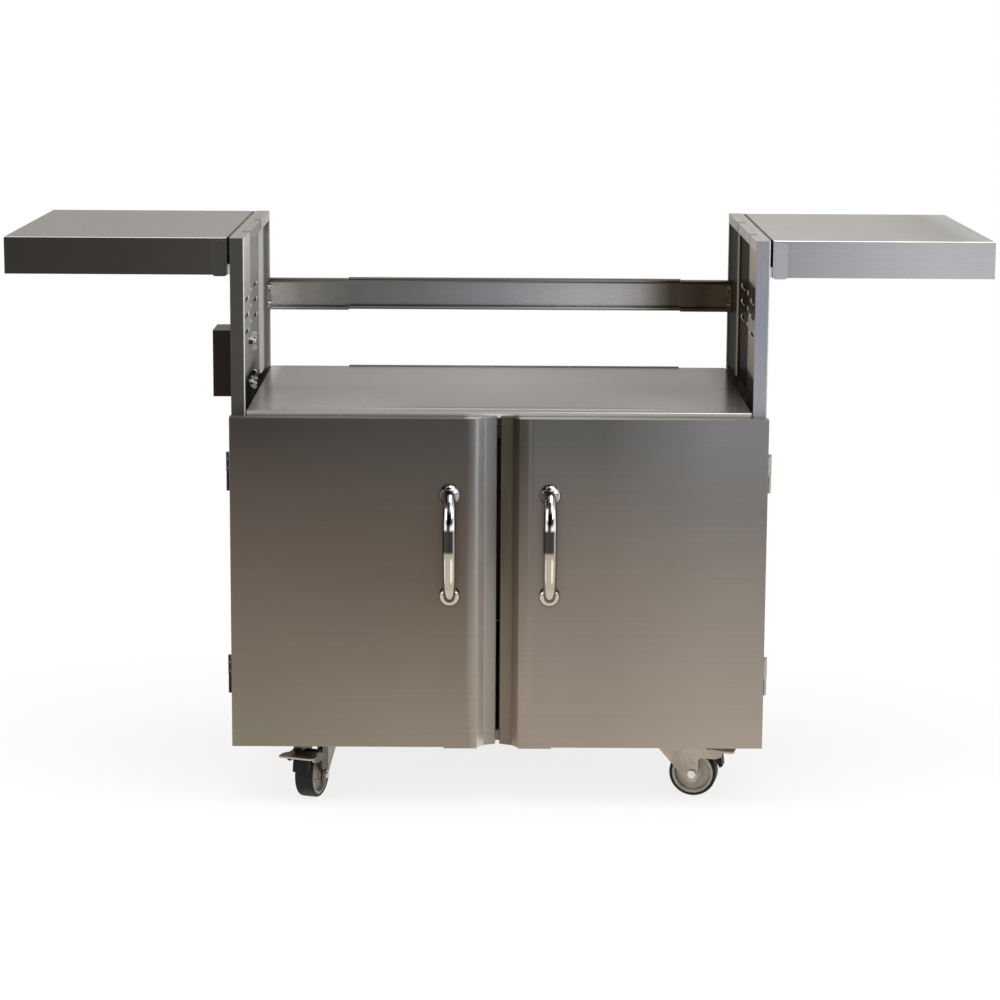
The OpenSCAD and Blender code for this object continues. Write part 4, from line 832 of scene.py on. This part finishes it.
def head_row(row):
    """Mesh of a row of domed heads."""
    holder = bpy.data.objects.new("row", bpy.data.meshes.new("row"))
    bpy.context.scene.collection.objects.link(holder)
    modifier = holder.modifiers.new("heads", "NODES")
    modifier.node_group = HEADS
    sockets = {item.name: item.identifier for item in HEADS.interface.items_tree if item.in_out == "INPUT"}
    values = {"Start": row.start, "End": row.end, "Count": row.count, "Radius": row.radius,
              "Height": row.height, "Turn": FACING[row.way], "Finish": FINISH["bright"]}
    for name, value in values.items():
        modifier[sockets[name]] = value
    holder.update_tag()
    depsgraph = bpy.context.evaluated_depsgraph_get()
    mesh = bpy.data.meshes.new_from_object(holder.evaluated_get(depsgraph))
    bpy.data.objects.remove(holder)
    return mesh


def join_rows(name, rows, body):
    """One piece from several rows of heads on the same body."""
    shape = bmesh.new()
    for row in rows:
        mesh = head_row(row)
        shape.from_mesh(mesh)
        bpy.data.meshes.remove(mesh)
    new_piece(name, mesh_of(name, shape), "bright", body)


def add_rivets():
    """Rivets up both sides of the back panel."""
    low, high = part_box("back_panel")
    side_inset, end_inset, height = 0.009, 0.03, 0.0013
    y = high.y - height
    rows = []
    for x in (low.x + side_inset, high.x - side_inset):
        start, end = (x, y, low.z + end_inset), (x, y, high.z - end_inset)
        rows.append(Row(start, end, count=6, radius=0.0036, height=height, way="back"))
    join_rows("back_rivets", rows, "cart")


def add_hinge_screws(side):
    """Two screws in each of the two hinge leaves of a door."""
    low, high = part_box(side + "_door_hinge_leaves")
    leaf_height, leaf_thick, inset = 0.03, 0.002, 0.008
    outward = SIDES[side]
    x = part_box(side + "_door_skin")[1 if outward > 0 else 0].x + outward * leaf_thick
    y = low.y + inset
    rows = []
    for bottom, top in ((low.z, low.z + leaf_height), (high.z - leaf_height, high.z)):
        start, end = (x, y, bottom + inset), (x, y, top - inset)
        rows.append(Row(start, end, count=2, radius=0.003, height=0.0011, way=side))
    join_rows(side + "_hinge_screws", rows, side + "_door")


def make_shade_tie():
    """Tie of bent sheet behind the door gap, from the floor pan up to the back panel, with two screws.

    It is a dark sheet in painted shade, set where the gap between the doors shows only shade.
    """
    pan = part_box("bottom_panel")[1]
    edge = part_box("back_panel")[0].z
    sheet, flange, half = 0.0012, 0.015, 0.024
    back = pan.y - 0.0018
    front = back - flange
    inside = back - sheet
    outline = [(back, pan.z), (back, edge), (front, edge), (front, edge - sheet), (inside, edge - sheet),
               (inside, pan.z + sheet), (front, pan.z + sheet), (front, pan.z)]
    shape = bmesh.new()
    ends = [[shape.verts.new((x, y, z)) for y, z in outline] for x in (-half, half)]
    for end in ends:
        shape.faces.new(end)
    for k in range(len(outline)):
        after = (k + 1) % len(outline)
        shape.faces.new((ends[0][k], ends[0][after], ends[1][after], ends[1][k]))
    new_piece("shade_tie", mesh_of("shade_tie", shape, smooth=False), "shade", "cart")
    x, y, z = half * 0.6, back - flange / 2, pan.z + sheet
    row = Row((-x, y, z), (x, y, z), count=2, radius=0.003, height=0.0013, way="up")
    join_rows("back_tie_screws", [row], "cart")


# Studio

def make_floor():
    """Pale floor that keeps the cart's shadow near it and fades to white further out."""
    reach = 14
    corners = [(-reach, -reach, 0), (reach, -reach, 0), (reach, reach, 0), (-reach, reach, 0)]
    mesh = bpy.data.meshes.new("floor")
    mesh.from_pydata(corners, [], [(0, 1, 2, 3)])
    floor = bpy.data.objects.new("floor", mesh)
    bpy.context.scene.collection.objects.link(floor)
    made = bpy.data.materials.new("studio_floor")
    made.use_nodes = True
    tree = made.node_tree
    tree.nodes.clear()
    place = put(tree, "ShaderNodeTexCoord").outputs["Object"]
    far = put(tree, "ShaderNodeVectorMath", {0: place}, operation="LENGTH").outputs["Value"]
    seen = put(tree, "ShaderNodeLightPath").outputs
    mirrored = calc(tree, "MAXIMUM", seen["Is Glossy Ray"], seen["Is Transmission Ray"])
    shown = calc(tree, "MAXIMUM", seen["Is Camera Ray"], mirrored)
    share = calc(tree, "MULTIPLY", shown, span(tree, far, 0.7, 2.0, 0.82, 1.0))
    pale = put(tree, "ShaderNodeBsdfDiffuse", {"Color": linear((244, 243, 241))}).outputs[0]
    white = put(tree, "ShaderNodeEmission", {"Color": WHITE, "Strength": 1.0}).outputs[0]
    both = put(tree, "ShaderNodeMixShader", {0: share, 1: pale, 2: white}).outputs[0]
    put(tree, "ShaderNodeOutputMaterial", {"Surface": both})
    mesh.materials.append(made)


def make_sky():
    """Room that polished pieces mirror: a dark wall in front, a grey ceiling and a window on either side."""
    world = bpy.data.worlds.new("studio")
    bpy.context.scene.world = world
    world.use_nodes = True
    tree = world.node_tree
    tree.nodes.clear()
    place = put(tree, "ShaderNodeTexCoord").outputs["Generated"]
    way = put(tree, "ShaderNodeSeparateXYZ", {0: place}).outputs
    seen = put(tree, "ShaderNodeLightPath").outputs
    mirrored = calc(tree, "MAXIMUM", seen["Is Glossy Ray"], seen["Is Transmission Ray"])
    in_front = span(tree, way[1], -0.35, -0.75)
    level = calc(tree, "MULTIPLY", span(tree, way[2], -0.02, 0.04), span(tree, way[2], 0.42, 0.30))
    wall = calc(tree, "MULTIPLY", in_front, level)
    right_window = span(tree, way[0], 0.12, 0.2)
    left_window = calc(tree, "MULTIPLY", span(tree, way[0], -0.3, -0.36), span(tree, way[0], -0.62, -0.56))
    window = calc(tree, "MAXIMUM", right_window, left_window)
    ceiling = mix(tree, window, linear((92, 90, 87)), linear((255, 254, 252)))
    room = mix(tree, span(tree, way[2], 0.45, 0.6), linear((238, 236, 232)), ceiling)
    room = mix(tree, wall, room, linear((44, 42, 40)))
    colour = mix(tree, mirrored, WHITE, room)
    colour = mix(tree, seen["Is Camera Ray"], colour, WHITE)
    strength = between(tree, calc(tree, "MAXIMUM", seen["Is Camera Ray"], mirrored), 0.75, 1.0)
    sky = put(tree, "ShaderNodeBackground", {0: colour, 1: strength}).outputs[0]
    put(tree, "ShaderNodeOutputWorld", {0: sky})


def add_lamp(name, place, target, size, power):
    """Soft square lamp that points at target."""
    lamp = bpy.data.lights.new(name, "AREA")
    lamp.shape = "SQUARE"
    lamp.size = size
    lamp.energy = power
    made = bpy.data.objects.new(name, lamp)
    bpy.context.scene.collection.objects.link(made)
    made.location = place
    made.rotation_euler = (Vector(target) - Vector(place)).to_track_quat("-Z", "Y").to_euler()


def add_camera():
    """Camera at the photograph's place and angle."""
    place = Vector((-0.014, -4.624, 1.282))
    pitch, yaw, roll = radians(10.31), radians(0.21), radians(0.35)
    ahead = Vector((sin(yaw) * cos(pitch), cos(yaw) * cos(pitch), -sin(pitch)))
    level = Vector((cos(yaw), -sin(yaw), 0))
    up = level.cross(ahead)
    across = cos(roll) * level + sin(roll) * up
    upward = cos(roll) * up - sin(roll) * level
    lens = bpy.data.cameras.new("camera")
    lens.sensor_fit = "HORIZONTAL"
    lens.sensor_width = 36
    lens.lens = 104.4
    made = bpy.data.objects.new("camera", lens)
    bpy.context.scene.collection.objects.link(made)
    turn = Matrix((across, upward, -ahead)).transposed().to_4x4()
    made.matrix_world = Matrix.Translation(place) @ turn
    bpy.context.scene.camera = made


for side in SIDES:
    make_grip(side)
add_rivets()
for side in SIDES:
    add_hinge_screws(side)
make_shade_tie()
make_floor()
make_sky()
add_lamp("overhead", place=(0, -0.6, 3.6), target=(0, 0, 0.4), size=3.2, power=90)
add_lamp("right", place=(3.4, -3.2, 2.2), target=(0, 0, 0.5), size=2.2, power=55)
add_lamp("left", place=(-3.6, -2.6, 1.8), target=(0, 0, 0.5), size=2.0, power=25)
add_camera()
bpy.context.scene.view_settings.view_transform = "Standard"
